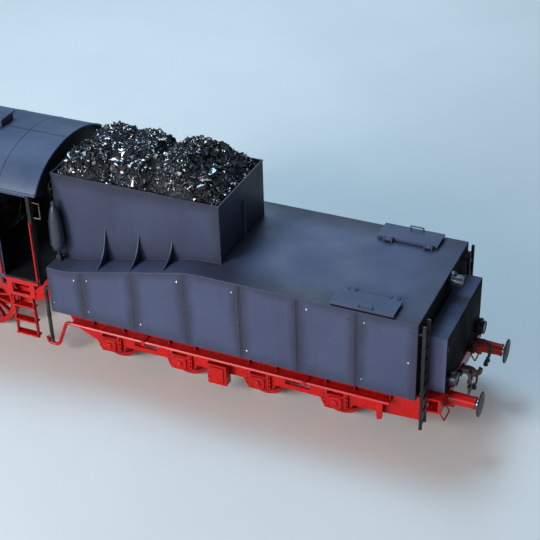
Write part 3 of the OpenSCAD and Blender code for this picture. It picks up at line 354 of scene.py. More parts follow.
def coal_material(name, smooth, rough, specular):
    """Broken coal: near black, with faces from smooth to rough and a little dust."""
    s = Shader(name)
    color = s.mix(s.ramp(s.cells(160), 0.2, 0.9), (0.005, 0.006, 0.009), (0.016, 0.019, 0.027))
    dusty = s.ramp(s.noise(190, detail=5), 0.55, 0.75, 0.0, 0.12)
    color = s.mix(dusty, color, (0.03, 0.03, 0.032))
    roughness = s.ramp(s.noise(230, detail=3), 0.35, 0.65, smooth, rough)
    s.bump(s.noise(520, detail=5), 0.40, mm(0.3))
    s.bsdf.inputs["IOR"].default_value = 1.68
    return s.finish(color, roughness, specular=specular)


def steel_material():
    """Oily steel with rust and bright edges."""
    s = Shader("oiled_steel")
    rusty = s.ramp(s.noise(240, detail=6), 0.45, 0.68)
    color = s.mix(rusty, (0.16, 0.13, 0.12), (0.10, 0.035, 0.02))
    color = s.mix(s.product(s.edges(mm(0.3)), 0.8), color, (0.42, 0.38, 0.36))
    roughness = s.ramp(s.noise(150), 0.3, 0.7, 0.28, 0.55)
    s.bump(s.noise(900, detail=4), 0.2)
    return s.finish(color, roughness, metallic=0.85)


def metal_material(name, bright, dull, rough):
    """Metal with dull patches and painted shade in its corners."""
    s = Shader(name)
    color = s.mix(s.ramp(s.noise(300, detail=5), 0.4, 0.7), bright, dull)
    # Painted shade: darker in corners, from ambient occlusion.
    color = s.mix(s.product(s.crevices(mm(2)), 0.6), color, (0.02, 0.02, 0.02))
    s.bump(s.noise(1200, detail=3), 0.12)
    return s.finish(color, s.ramp(s.noise(200), 0.3, 0.7, rough - 0.1, rough + 0.15), metallic=0.9)


def rubber_material():
    """Black rubber with grey patches."""
    s = Shader("hose_rubber")
    color = s.mix(s.ramp(s.noise(300, detail=5), 0.4, 0.7), (0.012, 0.012, 0.012), (0.04, 0.038, 0.036))
    s.bump(s.noise(1600, detail=3), 0.25)
    return s.finish(color, s.ramp(s.noise(120), 0.3, 0.7, 0.5, 0.75))


def glass_material(name, tint, rough):
    """Smeared, dusty glass."""
    s = Shader(name)
    smear = s.ramp(s.noise(90, detail=5), 0.4, 0.75, rough, rough + 0.16)
    s.bsdf.inputs["Transmission Weight"].default_value = 0.85
    s.bsdf.inputs["IOR"].default_value = 1.45
    s.bump(s.noise(30), 0.03)
    return s.finish(s.mix(s.ramp(s.noise(60), 0.4, 0.7, 0.0, 0.5), tint, DUST), smear)


MATERIALS = make_materials()


# ---- mesh helpers

SMOOTH_COSINE = math.cos(math.radians(50))


def corner_normals(bm):
    """Normals for every face corner, weighted by area, that blend over edges below 50 degrees."""
    bm.faces.index_update()
    weighted = [face.normal * face.calc_area() for face in bm.faces]
    normals = []
    for face in bm.faces:
        for vert in face.verts:
            total = Vector()
            for other in vert.link_faces:
                if other.normal.dot(face.normal) > SMOOTH_COSINE:
                    total += weighted[other.index]
            normals.append(total.normalized())
    return normals


def add_object(name, data):
    """A new object in the scene."""
    made = bpy.data.objects.new(name, data)
    bpy.context.collection.objects.link(made)
    return made


def add_piece(name, bm, body, slot, material=None, smooth=True):
    """Turns a bmesh into an object that rides on a body and takes its slot's material."""
    bm.normal_update()
    for face in bm.faces:
        face.smooth = smooth
    mesh = bpy.data.meshes.new(name)
    normals = corner_normals(bm) if smooth else None
    bm.to_mesh(mesh)
    bm.free()
    if smooth:
        mesh.normals_split_custom_set(normals)
    piece = add_object(name, mesh)
    piece.data.materials.append(MATERIALS[material or slot])
    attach(piece, body)
    return piece


def cad_mesh(*nodes):
    """A bmesh that holds copies of CAD nodes."""
    bm = bmesh.new()
    for node in nodes:
        bm.from_mesh(frame["nodes"][node].data)
    return bm


def softened(node, width, material=None, cut_x=None):
    """A copy of a CAD node with its sharp edges rounded, which stands for the node."""
    bm = cad_mesh(node)
    bmesh.ops.remove_doubles(bm, verts=bm.verts, dist=mm(0.002))
    bmesh.ops.dissolve_limit(bm, angle_limit=math.radians(1), verts=bm.verts, edges=bm.edges)
    sharp = [e for e in bm.edges if len(e.link_faces) == 2 and e.calc_face_angle(0.0) > math.radians(35)]
    bmesh.ops.bevel(bm, geom=sharp, offset=mm(width), segments=2, profile=0.5, affect="EDGES",
                    clamp_overlap=True)
    if cut_x is not None:
        bmesh.ops.bisect_plane(bm, geom=bm.verts[:] + bm.edges[:] + bm.faces[:], plane_co=(cut_x, 0, 0),
                               plane_no=FORWARD)
    piece = add_piece(node + "_rounded", bm, NODE_BODY[node], NODE_SLOT[node], material)
    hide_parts(node)
    return piece


def add_box(bm, lo, hi, round_by=0):
    """A box between two corners, with its edges rounded when asked."""
    lo, hi = Vector(lo), Vector(hi)
    made = bmesh.ops.create_cube(bm, size=1.0)
    verts = made["verts"]
    bmesh.ops.scale(bm, vec=hi - lo, verts=verts)
    bmesh.ops.translate(bm, vec=(lo + hi) / 2, verts=verts)
    if round_by:
        edges = list({e for v in verts for e in v.link_edges})
        bmesh.ops.bevel(bm, geom=edges, offset=mm(round_by), segments=2, profile=0.5, affect="EDGES",
                        clamp_overlap=True)


def add_ring(bm, centre, side, up, radius, sides):
    """A ring of vertices about a centre, in the plane of two directions."""
    return [bm.verts.new(centre + (side * math.cos(a) + up * math.sin(a)) * radius)
            for a in (math.tau * k / sides for k in range(sides))]


def add_tube(bm, path, radius, sides=10):
    """A round bar along a list of points."""
    points = [Vector(p) for p in path]
    side = (points[1] - points[0]).normalized().orthogonal().normalized()
    rings = []
    for before, point, after in zip(points[:1] + points, points, points[1:] + points[-1:]):
        tangent = (after - before).normalized()
        side = (side - tangent * side.dot(tangent)).normalized()
        rings.append(add_ring(bm, point, side, tangent.cross(side), mm(radius), sides))
    for a, b in zip(rings, rings[1:]):
        for k in range(sides):
            m = (k + 1) % sides
            bm.faces.new((a[k], a[m], b[m], b[k]))
    bm.faces.new(rings[0][::-1])
    bm.faces.new(rings[-1])


def rounded_path(points, radius):
    """The points with each inner corner replaced by a short curve."""
    steps = 5
    points = [Vector(p) for p in points]
    path = [points[0]]
    for before, corner, after in zip(points, points[1:], points[2:]):
        a = corner + (before - corner).normalized() * min(mm(radius), (before - corner).length * 0.45)
        b = corner + (after - corner).normalized() * min(mm(radius), (after - corner).length * 0.45)
        for i in range(steps + 1):
            t = i / steps
            path.append(a * (1 - t) ** 2 + corner * 2 * t * (1 - t) + b * t ** 2)
    path.append(points[-1])
    return path


def add_lathe(bm, centre, axis, profile, sides=24):
    """Turns a profile of (distance along axis, radius) about an axis; the ends close where radius is 0."""
    axis = Vector(axis).normalized()
    side = axis.orthogonal().normalized()
    up = axis.cross(side)
    rings = []
    for along, radius in profile:
        base = Vector(centre) + axis * mm(along)
        rings.append(add_ring(bm, base, side, up, mm(radius), sides if radius > 0 else 1))
    for a, b in zip(rings, rings[1:]):
        for k in range(sides):
            m = (k + 1) % sides
            if len(a) == 1:
                bm.faces.new((a[0], b[m], b[k]))
            elif len(b) == 1:
                bm.faces.new((a[k], a[m], b[0]))
            else:
                bm.faces.new((a[k], a[m], b[m], b[k]))
    for ring in (rings[0][::-1], rings[-1]):
        if len(ring) > 1:
            bm.faces.new(ring)


def add_stud(bm, point, normal, radius, height, sides=8):
    """A domed rivet or bolt head standing on a surface."""
    add_lathe(bm, Vector(point) - Vector(normal) * mm(0.05), normal,
              [(0, radius), (height * 0.45, radius * 0.96), (height * 0.8, radius * 0.7), (height, 0)], sides)


def add_hex(bm, point, normal, radius, height):
    """A hexagonal bolt head or nut with a washer under it."""
    add_lathe(bm, point, normal, [(0, radius * 1.25), (height * 0.2, radius * 1.25)], 16)
    add_lathe(bm, point, normal, [(height * 0.2, radius), (height * 0.9, radius), (height, radius * 0.8)], 6)


def both_ways(bm):
    """Adds the mirror image on the other side of the centre line."""
    made = bmesh.ops.duplicate(bm, geom=bm.verts[:] + bm.edges[:] + bm.faces[:])
    verts = [v for v in made["geom"] if isinstance(v, bmesh.types.BMVert)]
    faces = [f for f in made["geom"] if isinstance(f, bmesh.types.BMFace)]
    bmesh.ops.scale(bm, vec=(1, -1, 1), verts=verts)
    bmesh.ops.reverse_faces(bm, faces=faces)
    return bm


def surface_tree(*nodes):
    """A search tree over CAD nodes, to find heights and faces on them."""
    bm = cad_mesh(*nodes)
    tree = BVHTree.FromBMesh(bm)
    bm.free()
    return tree


def top_of(tree, x, y):
    """The height of a tree's highest point at x and y."""
    above = cad_box[1][2] + mm(10)
    return tree.ray_cast(Vector((x, y, above)), Vector((0, 0, -1)))[0].z


# ---- stage

def look_matrix(place, yaw, pitch, roll):
    """Where a camera stands and looks: yaw from +X, pitch downwards, roll about the view."""
    forward = Vector((math.cos(yaw) * math.cos(pitch), math.sin(yaw) * math.cos(pitch), -math.sin(pitch)))
    side = forward.cross(Vector(UP)).normalized()
    up = side.cross(forward)
    right = side * math.cos(roll) + up * math.sin(roll)
    up = up * math.cos(roll) - side * math.sin(roll)
    matrix = Matrix((right, up, -forward)).transposed().to_4x4()
    matrix.translation = place
    return matrix


def make_camera():
    data = bpy.data.cameras.new("camera")
    data.sensor_width = 36
    data.lens = 86.13
    data.clip_start = 0.01
    camera = add_object("camera", data)
    camera.matrix_world = look_matrix(place=mm(-317.65, 593.68, 496.99), yaw=math.radians(-64.884),
                                      pitch=math.radians(32.82), roll=math.radians(-1.829))
    bpy.context.scene.camera = camera


def area_light(name, place, target, size, power, color):
    data = bpy.data.lights.new(name, "AREA")
    data.shape = "RECTANGLE"
    data.size, data.size_y = size
    data.energy = power
    data.color = color
    light = add_object(name, data)
    light.location = place
    light.rotation_euler = (Vector(target) - Vector(place)).to_track_quat("-Z", "Y").to_euler()


def make_stage():
    floor_bm = bmesh.new()
    bmesh.ops.create_grid(floor_bm, x_segments=4, y_segments=4, size=6.0)
    mesh = bpy.data.meshes.new("floor")
    floor_bm.to_mesh(mesh)
    floor_bm.free()
    floor = add_object("floor", mesh)
    floor.location.z = cad_box[0][2] - mm(0.05)
    s = Shader("studio_floor")
    tone = s.ramp(s.noise(6, detail=3), 0.3, 0.7)
    mesh.materials.append(s.finish(s.mix(tone, (0.80, 0.78, 0.75), (0.84, 0.82, 0.79)), 0.8, specular=0.2))
    middle = (0.0, 0.0, 0.07)
    area_light("key", (0.60, 1.05, 0.52), middle, (0.42, 0.60), 13.0, (1.0, 0.98, 0.96))
    area_light("top", (0.36, -0.28, 1.2), middle, (0.5, 0.5), 9.0, (0.44, 0.74, 1.0))
    area_light("side", (0.05, 1.3, 0.40), middle, (0.9, 0.35), 4.6, (0.97, 0.97, 1.0))
    area_light("glint", (0.36, -0.95, 0.75), middle, (0.5, 0.45), 3.0, (0.62, 0.84, 1.0))
    world = bpy.data.worlds.new("studio")
    world.use_nodes = True
    background = world.node_tree.nodes["Background"].inputs
    background["Color"].default_value = (0.68, 0.80, 1.0, 1.0)
    background["Strength"].default_value = 0.15
    bpy.context.scene.world = world
    bpy.context.scene.view_settings.view_transform = "Standard"


# ---- coal

# Hills and dips of the heap: place along X, height and half-width in millimetres
HILLS = ((165, 1.2, 7), (148, -3.4, 5), (136, -0.8, 6), (122, -4.2, 6), (103, 2.0, 8), (84, -2.5, 9))
# Shards: their sizes in millimetres, how many, and how far their middles stand above the plain heap
SHARD_GROUPS = (((5.5, 6.5, 7.5), 260, -2.2), ((2.8, 3.4, 4.2, 5.2, 6.2), 2300, -1.6),
                ((1.5, 1.9, 2.4), 3600, -0.9))
RIM_SHARDS = 900
# How far a shard of size 1 reaches from its middle
SHARD_REACH = 0.66


def shard_shapes(count):
    """Flat lumps of broken coal: convex hulls of a few scattered points, one unit long."""
    shapes = []
    for _ in range(count):
        bm = bmesh.new()
        for _ in range(9):
            direction = Vector([random.gauss(0, 1) for _ in range(3)]).normalized()
            reach = random.uniform(0.42, 0.56)
            bm.verts.new(Vector((direction.x * 1.25, direction.y * 0.9, direction.z * 0.45)) * reach)
        made = bmesh.ops.convex_hull(bm, input=bm.verts[:])
        unused = [g for g in made["geom_interior"] if isinstance(g, bmesh.types.BMVert)]
        bmesh.ops.delete(bm, geom=unused, context="VERTS")
        bm.verts.index_update()
        bm.normal_update()
        shapes.append(([v.co.copy() for v in bm.verts], [[v.index for v in f.verts] for f in bm.faces]))
        bm.free()
    return shapes


class Heap:
    """Collects shards into one mesh."""

    def __init__(self, shapes):
        self.shapes = shapes
        self.points = []
        self.faces = []

    def add(self, place, size):
        points, faces = random.choice(self.shapes)
        turn = random_turn()
        first = len(self.points)
        self.points += [turn @ point * size + place for point in points]
        self.faces += [[first + i for i in face] for face in faces]

    def to_bmesh(self):
        mesh = bpy.data.meshes.new("heap")
        mesh.from_pydata(self.points, [], self.faces)
        bm = bmesh.new()
        bm.from_mesh(mesh)
        bpy.data.meshes.remove(mesh)
        return bm


def hill(x, y):
    """How far the heap's surface stands above or below its plain shape."""
    rough = noise.noise(Vector((x, y, 0)) * 60) * mm(4)
    for centre, height, width in HILLS:
        away = (x - at(centre, 0, 0).x) / mm(width)
        rough += mm(height) * math.exp(-away * away)
    return rough


def random_turn():
    axis = Vector([random.gauss(0, 1) for _ in range(3)])
    return Matrix.Rotation(random.uniform(0, math.tau), 3, axis)


def slack_surface(tree, heap, rim):
    """The heap's rough surface of small coal between the shards, closed underneath."""
    bm = bmesh.new()
    columns, rows = 150, 76
    grids = []
    for lift in (0, 1):
        grid = []
        for i in range(columns + 1):
            x = heap.lo.x + mm(0.3) + (heap.size.x - mm(0.6)) * i / columns
            line = []
            for j in range(rows + 1):
                y = heap.lo.y + mm(0.3) + (heap.size.y - mm(0.6)) * j / rows
                grain = noise.noise(Vector((x, y, 0)) * 700) * mm(0.9)
                surface = top_of(tree, x, y) + hill(x, y) * 0.8 - mm(1.4)
                z = min(max(surface, rim - mm(2.4)), heap.hi.z - mm(1.6)) + grain
                line.append(bm.verts.new((x, y, z if lift else rim - mm(6))))
            grid.append(line)
        grids.append(grid)
    for lift, grid in enumerate(grids):
        for i in range(columns):
            for j in range(rows):
                corners = [grid[i][j], grid[i + 1][j], grid[i + 1][j + 1], grid[i][j + 1]]
                bm.faces.new(corners if lift else corners[::-1])
    low, high = [[r[0] for r in grid] + grid[-1][1:] + [r[-1] for r in grid[-2::-1]] + grid[0][-2:0:-1]
                 for grid in grids]
    for k in range(len(low)):
        m = (k + 1) % len(low)
        bm.faces.new((low[k], low[m], high[m], high[k]))
    return bm


def make_coal():
    """A heap of small coal under some seven thousand shards that follow its hills."""
    tree = surface_tree("coal_load")
    heap = Box("coal_load")
    rim = Box("bunker_shell").hi.z
    piece = add_piece("coal_bed", slack_surface(tree, heap, rim), "tender", "coal", "slack", smooth=False)
    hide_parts("coal_load")
    lumps = Heap(shard_shapes(40))

    def spot(size):
        """A random place where a shard stays inside the bunker's walls."""
        wall = size * SHARD_REACH
        x = random.uniform(heap.lo.x + wall, heap.hi.x - wall)
        return x, random.uniform(heap.lo.y + wall, heap.hi.y - wall)

    for sizes, count, rise in SHARD_GROUPS:
        for _ in range(count):
            size = mm(random.choice(sizes))
            x, y = spot(size)
            z = top_of(tree, x, y) + mm(rise) + hill(x, y) + random.uniform(-0.35, 0.25) * size
            z = min(max(z, rim - mm(2)), heap.hi.z - size * SHARD_REACH)
            lumps.add(Vector((x, y, z)), size)
    for _ in range(RIM_SHARDS):
        size = mm(random.choice((1.5, 2.0, 2.6)))
        inward = size * SHARD_REACH + random.uniform(0, mm(4))
        x, y = spot(size)
        if random.random() < 0.4:
            x = random.choice((heap.lo.x + inward, heap.hi.x - inward))
        else:
            y = random.choice((heap.lo.y + inward, heap.hi.y - inward))
        lumps.add(Vector((x, y, rim - mm(random.uniform(0.4, 1.8)))), size)
    add_piece("coal_lumps", lumps.to_bmesh(), "tender", "coal", smooth=False)


# ---- detail pieces

def add_finish(piece, material, test):
    """Gives the faces that pass a test another material."""
    piece.data.materials.append(MATERIALS[material])
    for face in piece.data.polygons:
        if test(face):
            face.material_index = len(piece.data.materials) - 1


def make_tank_details():
    """Cover strips, bolt heads with their washers, and weld beads on the tank."""
    tank = Box("tank_shell")
    bolt_tip = Box("side_bolts").hi.y
    half = tank.hi.y
    tree = surface_tree("tank_shell")
    strips = bmesh.new()
    for i in range(6):
        x = tank.lo.x + PANEL_FIRST + PANEL_PITCH * i
        top = top_of(tree, x, half - mm(0.5)) - mm(1.2)
        for side, wide, proud in ((-0.55, 0.16, 0.10), (0.55, 0.2, 0.14)):
            add_box(strips, (x + mm(side - wide), half - mm(0.2), tank.lo.z + mm(0.4)),
                    (x + mm(side + wide), half + mm(proud), top), 0.05)
    joints = add_piece("side_sheet_joints", both_ways(strips), "tender", "body_paint", "tank")
    # The joints behind the bunker are open and dark
    add_finish(joints, "black_metal", lambda face: face.center.x < at(78, 0, 0).x)

    heads = {"bright": bmesh.new(), "tank": bmesh.new()}
    for x, z in bolt_places("side_bolts", bolt_tip):
        finish = "bright" if random.random() < 0.55 else "tank"
        add_lathe(heads["tank"], (x, half, z), LEFT, [(0, 0.85), (0.1, 0.85)], 12)
        add_stud(heads[finish], (x, half + mm(0.05), z), LEFT, random.uniform(0.5, 0.75),
                 (bolt_tip - half) / mm(1) - 0.05, 10)
    piece = add_piece("side_bolt_heads", both_ways(heads["bright"]), "tender", "bare_steel", "bright")
    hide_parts("side_bolts")
    add_piece("side_bolt_washers", both_ways(heads["tank"]), "tender", "body_paint", "tank")

    welds = bmesh.new()
    bunker = Box("bunker_shell")
    first = bunker.lo.x + mm(0.3)
    last = bunker.hi.x - mm(0.3)
    for y in (bunker.lo.y + mm(0.25), bunker.hi.y - mm(0.25)):
        steps = [first + (last - first) * k / 40 for k in range(41)]
        add_tube(welds, [(x, y, top_of(tree, x, y)) for x in steps], 0.32, 8)
    base = top_of(tree, bunker.lo.x, 0)
    add_tube(welds, [(first, bunker.lo.y, base), (first, bunker.hi.y, base)], 0.32, 8)
    rear = tank.lo.x + mm(0.25)
    upper = tank.hi.z - mm(0.25)
    add_tube(welds, [(rear, mm(0.4) - half, upper), (rear, half - mm(0.4), upper)], 0.22, 8)
    add_piece("tank_weld_beads", welds, "tender", "body_paint")


def bolt_places(node, tip):
    """Centres in x and z of a node's bolt heads on the left side, one for each group of joined vertices."""
    bm = cad_mesh(node)
    bmesh.ops.remove_doubles(bm, verts=bm.verts, dist=mm(0.01))
    places = []
    seen = set()
    for start in bm.verts:
        group = [] if start in seen else [start]
        seen.add(start)
        for vert in group:
            joined = [edge.other_vert(vert) for edge in vert.link_edges]
            group += [other for other in joined if other not in seen]
            seen.update(joined)
        if group and max(vert.co.y for vert in group) > tip - mm(0.1):
            middle = sum((vert.co for vert in group), Vector()) / len(group)
            places.append((middle.x, middle.z))
    bm.free()
    return places


def make_ledge_bars():
    """The bar along each ledge, eight-sided with one flat towards the light, and the ledge's bolts."""
    bar = bmesh.new()
    tilt = math.radians(29 - 22.5)
    side = Vector((0, math.cos(tilt), math.sin(tilt)))
    up = Vector((0, -math.sin(tilt), math.cos(tilt)))
    rear, front = [add_ring(bar, at(x, 39.8, 27.5), side, up, mm(1.12), 8) for x in (-35, 178.4)]
    for k in range(8):
        m = (k + 1) % 8
        bar.faces.new((rear[m], rear[k], front[k], front[m]))
    bar.faces.new(rear)
    bar.faces.new(front[::-1])
    bmesh.ops.recalc_face_normals(bar, faces=bar.faces[:])
    add_piece("ledge_bars", both_ways(bar), "tender", "frame_red", smooth=False)
    bm = bmesh.new()
    for x in (-30, -8, 10, 34, 60, 88, 114, 138, 170):
        add_hex(bm, at(x, 36.6, 28.1), UP, 0.4, 0.4)
    add_piece("ledge_bolts", both_ways(bm), "tender", "frame_red")


def make_axlebox_covers():
    """Square cover with a domed cap, bolts, and the ribbed horn guide behind it."""
    bm = bmesh.new()
    for i in range(1, 5):
        axle = Box(f"wheelset_{i}").mid
        centre = Vector((axle.x, 0, axle.z))
        add_box(bm, centre + mm(-4.5, 36.5, -4.1), centre + mm(4.5, 37.3, 4.1), 0.25)
        add_lathe(bm, centre + mm(0, 37.1, 0), LEFT,
                  [(0, 2.7), (0.3, 2.6), (0.35, 2.0), (1.0, 1.9), (1.3, 1.4), (1.4, 0)], 28)
        for x in (-3.6, 3.6):
            for z in (-3.2, 3.2):
                add_hex(bm, centre + mm(x, 37.2, z), LEFT, 0.5, 0.5)
        for x in (-7.2, 7.2):
            for z in (-2.6, 0.3, 3.2):
                add_box(bm, centre + mm(x - 0.8, 35.0, z - 0.5), centre + mm(x + 0.8, 36.2, z + 0.5), 0.15)
            add_box(bm, centre + mm(x - 0.5, FRAME_FACE, -4.6), centre + mm(x + 0.5, 35.5, 6.8), 0.15)
    piece = add_piece("axlebox_caps", both_ways(bm), "tender", "frame_red")
    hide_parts("axlebox_covers")


def make_frame_rivets():
    """Rivet rows along the frame plates, the beam and the equipment box."""
    bm = bmesh.new()
    upper_row = [(-50 + 5 * k, 38.8) for k in range(46)]
    lower_row = [(-16 + 6.6 * k, 16.4) for k in range(30)]
    between_axles = [(x, z) for x, z in lower_row if min(abs(x - axle) for axle in AXLES) >= 12]
    for x, z in upper_row + between_axles:
        add_stud(bm, at(x, FRAME_FACE, z), LEFT, 0.32, 0.25)
    for z in (11.6, 21.9):
        for x in (71.8, 79.7):
            add_stud(bm, at(x, 40.7, z), LEFT, 0.35, 0.3)
    for y in (3.6, 8, 12.4, 16.8, 35, 39):
        for z in (30.6, 38.6):
            add_stud(bm, at(BEAM_REAR, y, z), REARWARD, 0.38, 0.25)
    add_piece("frame_rivets", both_ways(bm), "tender", "frame_red")


def lamp_profile(length, r):
    """Body of a lamp from its back plate to the hood in front of the lens."""
    outside = [(0, 0), (0, 0.72), (0.10, 0.78), (0.18, 0.96), (0.55, 0.96), (0.58, 1), (1, 1)]
    hood = [(1, 0.90), (0.70, 0.86), (0.66, 0)]
    return [(length * along, r * across) for along, across in outside + hood]


def make_lamps():
    """Round lamps with a hooded rim, a chimney, a silvered reflector and a domed lens."""
    shells, glass, mirrors, rims = bmesh.new(), bmesh.new(), bmesh.new(), bmesh.new()
    for back, y, z, length in ((TANK_REAR, -9, 87.6, 8.0), (BEAM_REAR, 27.3, 46.5, 4.8),
                               (BEAM_REAR, -27.3, 46.5, 4.8)):
        start = at(back, y, z)
        toward = Vector(REARWARD)
        add_lathe(shells, start + toward * mm(0.5), toward, lamp_profile(length - 0.1, 4.1), 36)
        add_lathe(shells, start, toward, [(0, 1.6), (0.7, 1.6)], 16)
        add_lathe(shells, start + mm(-2.6, 0, 3.6), UP,
                  [(0, 1.4), (1.1, 1.4), (1.15, 1.75), (1.9, 1.5), (2.2, 0.6), (2.3, 0)], 20)
        add_box(shells, start + mm(-3.6, -0.8, -5.0), start + mm(0, 0.8, -3.6), 0.15)
        for ring in (length * 0.35, length):
            add_lathe(rims, start + toward * mm(ring), toward,
                      [(0, 4.12), (0.12, 4.18), (0.3, 4.05), (0.32, 3.7), (0.05, 3.6)], 36)
        add_lathe(mirrors, start + toward * mm(length - 1.1), toward, [(0, 0), (0.15, 1.5), (0.7, 3.3)], 32)
        add_lathe(glass, start + toward * mm(length - 0.5), toward,
                  [(0, 0), (0, 3.4), (0.15, 3.4), (0.5, 2.4), (0.65, 1.2), (0.7, 0)], 32)
    body = add_piece("lamp_shells", shells, "tender", "black_metal", "bottle")
    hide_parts("lamp_bodies")
    add_piece("lamp_rims", rims, "tender", "black_metal")
    add_piece("lamp_reflectors", mirrors, "tender", "bare_steel", "bright")
    lens = add_piece("lamp_glasses", glass, "tender", "lens_glass")
    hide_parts("lamp_lenses")


def make_buffers():
    """Sleeves with dark mouths, and turned heads with domed faces."""
    sleeves = softened("buffer_sleeves", 0.25)
    add_finish(sleeves, "black_metal",
               lambda face: abs(face.normal.x) > 0.9 and face.center.x < at(-81, 0, 0).x)
    # The shank ends in a thin spigot that enters the coil spring when the buffer is pushed in
    dome, shank, spigot = 80, 2.45, 1.4
    for side in ("left", "right"):
        node = "buffer_head_" + side
        box = Box(node)
        bm = bmesh.new()
        front = box.lo.x
        length = box.size.x / mm(1)
        r = box.size.y / 2 / mm(1)
        profile = [(0, 0)] + [((r * k / 8) ** 2 / dome, r * k / 8 * 0.985) for k in range(1, 9)]
        step = length - 2.3
        profile += [(profile[-1][0] + 0.25, r), (1.35, r), (1.5, r - 0.2), (1.55, 2.7), (1.7, shank),
                    (step, shank), (step, spigot), (length, spigot), (length, 0)]
        add_lathe(bm, (front, box.mid.y, box.mid.z), FORWARD, profile, 48)
        piece = add_piece(node + "_turned", bm, "buffer_" + side, "black_metal")
        add_finish(piece, "bright", lambda face: face.center.x > front + mm(1.8))
        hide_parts(node)


def make_hoses():
    """Brake and heating hoses with their cocks and couplings, and the tank's feed pipes."""
    rubber, metal = bmesh.new(), bmesh.new()
    start_x = BEAM_REAR - 3
    for y in (-9.4, -13.4, 14.5):
        arch = [at(start_x - 5 + 5 * math.cos(a), y, 43.2 + 4.5 * math.sin(a))
                for a in (math.pi * k / 14 for k in range(15))]
        tail = [at(-78.6, y, 41), at(-78.5, y, 39), at(-78.2, y, 37), at(-77.5, y, 35.6)]
        add_tube(rubber, [at(start_x, y, 41.8)] + arch + tail, 0.62, 14)
        for k in range(3):
            add_lathe(metal, at(start_x, y, 42.2 + 0.5 * k), UP, [(0, 1.15), (0.22, 1.15)], 14)
        add_lathe(metal, at(BEAM_REAR, y, 41.5), REARWARD,
                  [(0, 2.0), (0.6, 2.0), (0.65, 1.4), (3.4, 1.4), (3.5, 0)], 18)
        add_lathe(metal, at(start_x, y, 40.6), UP, [(0, 0.8), (0.3, 1.3), (1.6, 1.3), (1.7, 0.9)], 16)
        add_box(metal, at(start_x - 0.4, y, 39.4), at(start_x + 0.4, y + 2.6, 40.2), 0.15)
        add_lathe(metal, at(-77.3, y, 32.8), UP,
                  [(0, 0.9), (0.1, 1.4), (1.2, 1.5), (1.3, 1.15), (2.8, 1.1), (3.2, 0.9)], 16)
    pipe_x = TANK_FRONT + 7.5
    for y in (-39.8, 39.8):
        bends = rounded_path([at(TANK_FRONT, y, 52), at(pipe_x, y, 52), at(pipe_x, y, 9.6)], 3)
        add_tube(rubber, bends, 1.22, 18)
        add_lathe(metal, at(TANK_FRONT, y, 52), FORWARD, [(0, 2.2), (0.7, 2.1), (0.75, 1.3)], 20)
        for z in (12, 30, 46):
            add_lathe(metal, at(pipe_x, y, z), UP, [(0, 1.2), (0.1, 1.45), (0.9, 1.45), (1.0, 1.2)], 18)
    piece = add_piece("hose_bodies", rubber, "tender", "hose_rubber")
    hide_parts("hoses")
    add_piece("hose_fittings", metal, "tender", "black_metal")


def make_coupling():
    """The screw coupling's threads and weighted handle beside its links."""
    bm = bmesh.new()
    for k in range(6):
        add_lathe(bm, at(-71, 0, 22.8 + 0.62 * k), UP,
                  [(0, 0.85), (0.15, 1.05), (0.3, 0.85)], 16)
    for y in (-3.3, 3.3):
        add_lathe(bm, at(-71, y - 0.25, 33), LEFT, [(0, 1.2), (0.5, 1.2)], 18)
    add_piece("coupling_screw", bm, "coupling_link", "bare_steel")


def make_wheels():
    """The wheelsets with rounded edges and bright treads."""
    treads = {"wheelset_1": 15.5, "wheelset_2": 15.5, "wheelset_3": 15.5, "wheelset_4": 15.5,
              "driving_wheelset": 22.0}
    for node, radius in treads.items():
        piece = softened(node, 0.18)
        axis = Box(node).mid

        def on_tread(face):
            reach = math.hypot(face.center.x - axis.x, face.center.z - axis.z)
            return reach > mm(radius - 0.3) and abs(face.normal.y) < 0.6
        add_finish(piece, "bright", on_tread)


def make_roof_details():
    """Seams, rim, rivets and gutters of the cab's roof."""
    roof = Box("cab_roof")
    tree = surface_tree("cab_roof")
    bm, seams = bmesh.new(), bmesh.new()

    def over(x, y, lift):
        return Vector((x, y, top_of(tree, x, y) + mm(lift)))

    seam_y = mm(3.75)
    count = 24
    span = [roof.lo.x + mm(0.4) + (roof.size.x - mm(0.8)) * k / count for k in range(count + 1)]
    add_tube(seams, [over(x, seam_y, -0.05) for x in span], 0.3, 8)
    edge = roof.hi.y - mm(0.25)
    for mesh, x, thick in ((bm, 0.35, 0.36), (seams, 27, 0.2), (seams, 55, 0.2)):
        across = [over(roof.lo.x + mm(x), -edge + 2 * edge * k / 48, -0.05) for k in range(49)]
        add_tube(mesh, across, thick, 8)
    for k in range(38):
        y = -edge + mm(1.2) + 2 * (edge - mm(1.2)) * k / 37
        point = over(roof.lo.x + mm(2.2), y, -0.05)
        normal = Vector((0, point.y, point.z - roof.hi.z + mm(66))).normalized()
        add_stud(bm, point, normal, 0.3, 0.22)
    add_piece("roof_rim_and_rivets", bm, "locomotive", "roof_paint")
    add_piece("roof_seams", seams, "locomotive", "roof_paint", "black_metal")

    gutter = bmesh.new()
    y = roof.hi.y - mm(0.35)
    z = at(0, 0, 120.3).z
    add_tube(gutter, [(roof.lo.x + mm(0.4), y, z), (roof.hi.x - mm(0.4), y, z)], 0.34, 10)
    add_piece("roof_gutters", both_ways(gutter), "locomotive", "roof_paint")


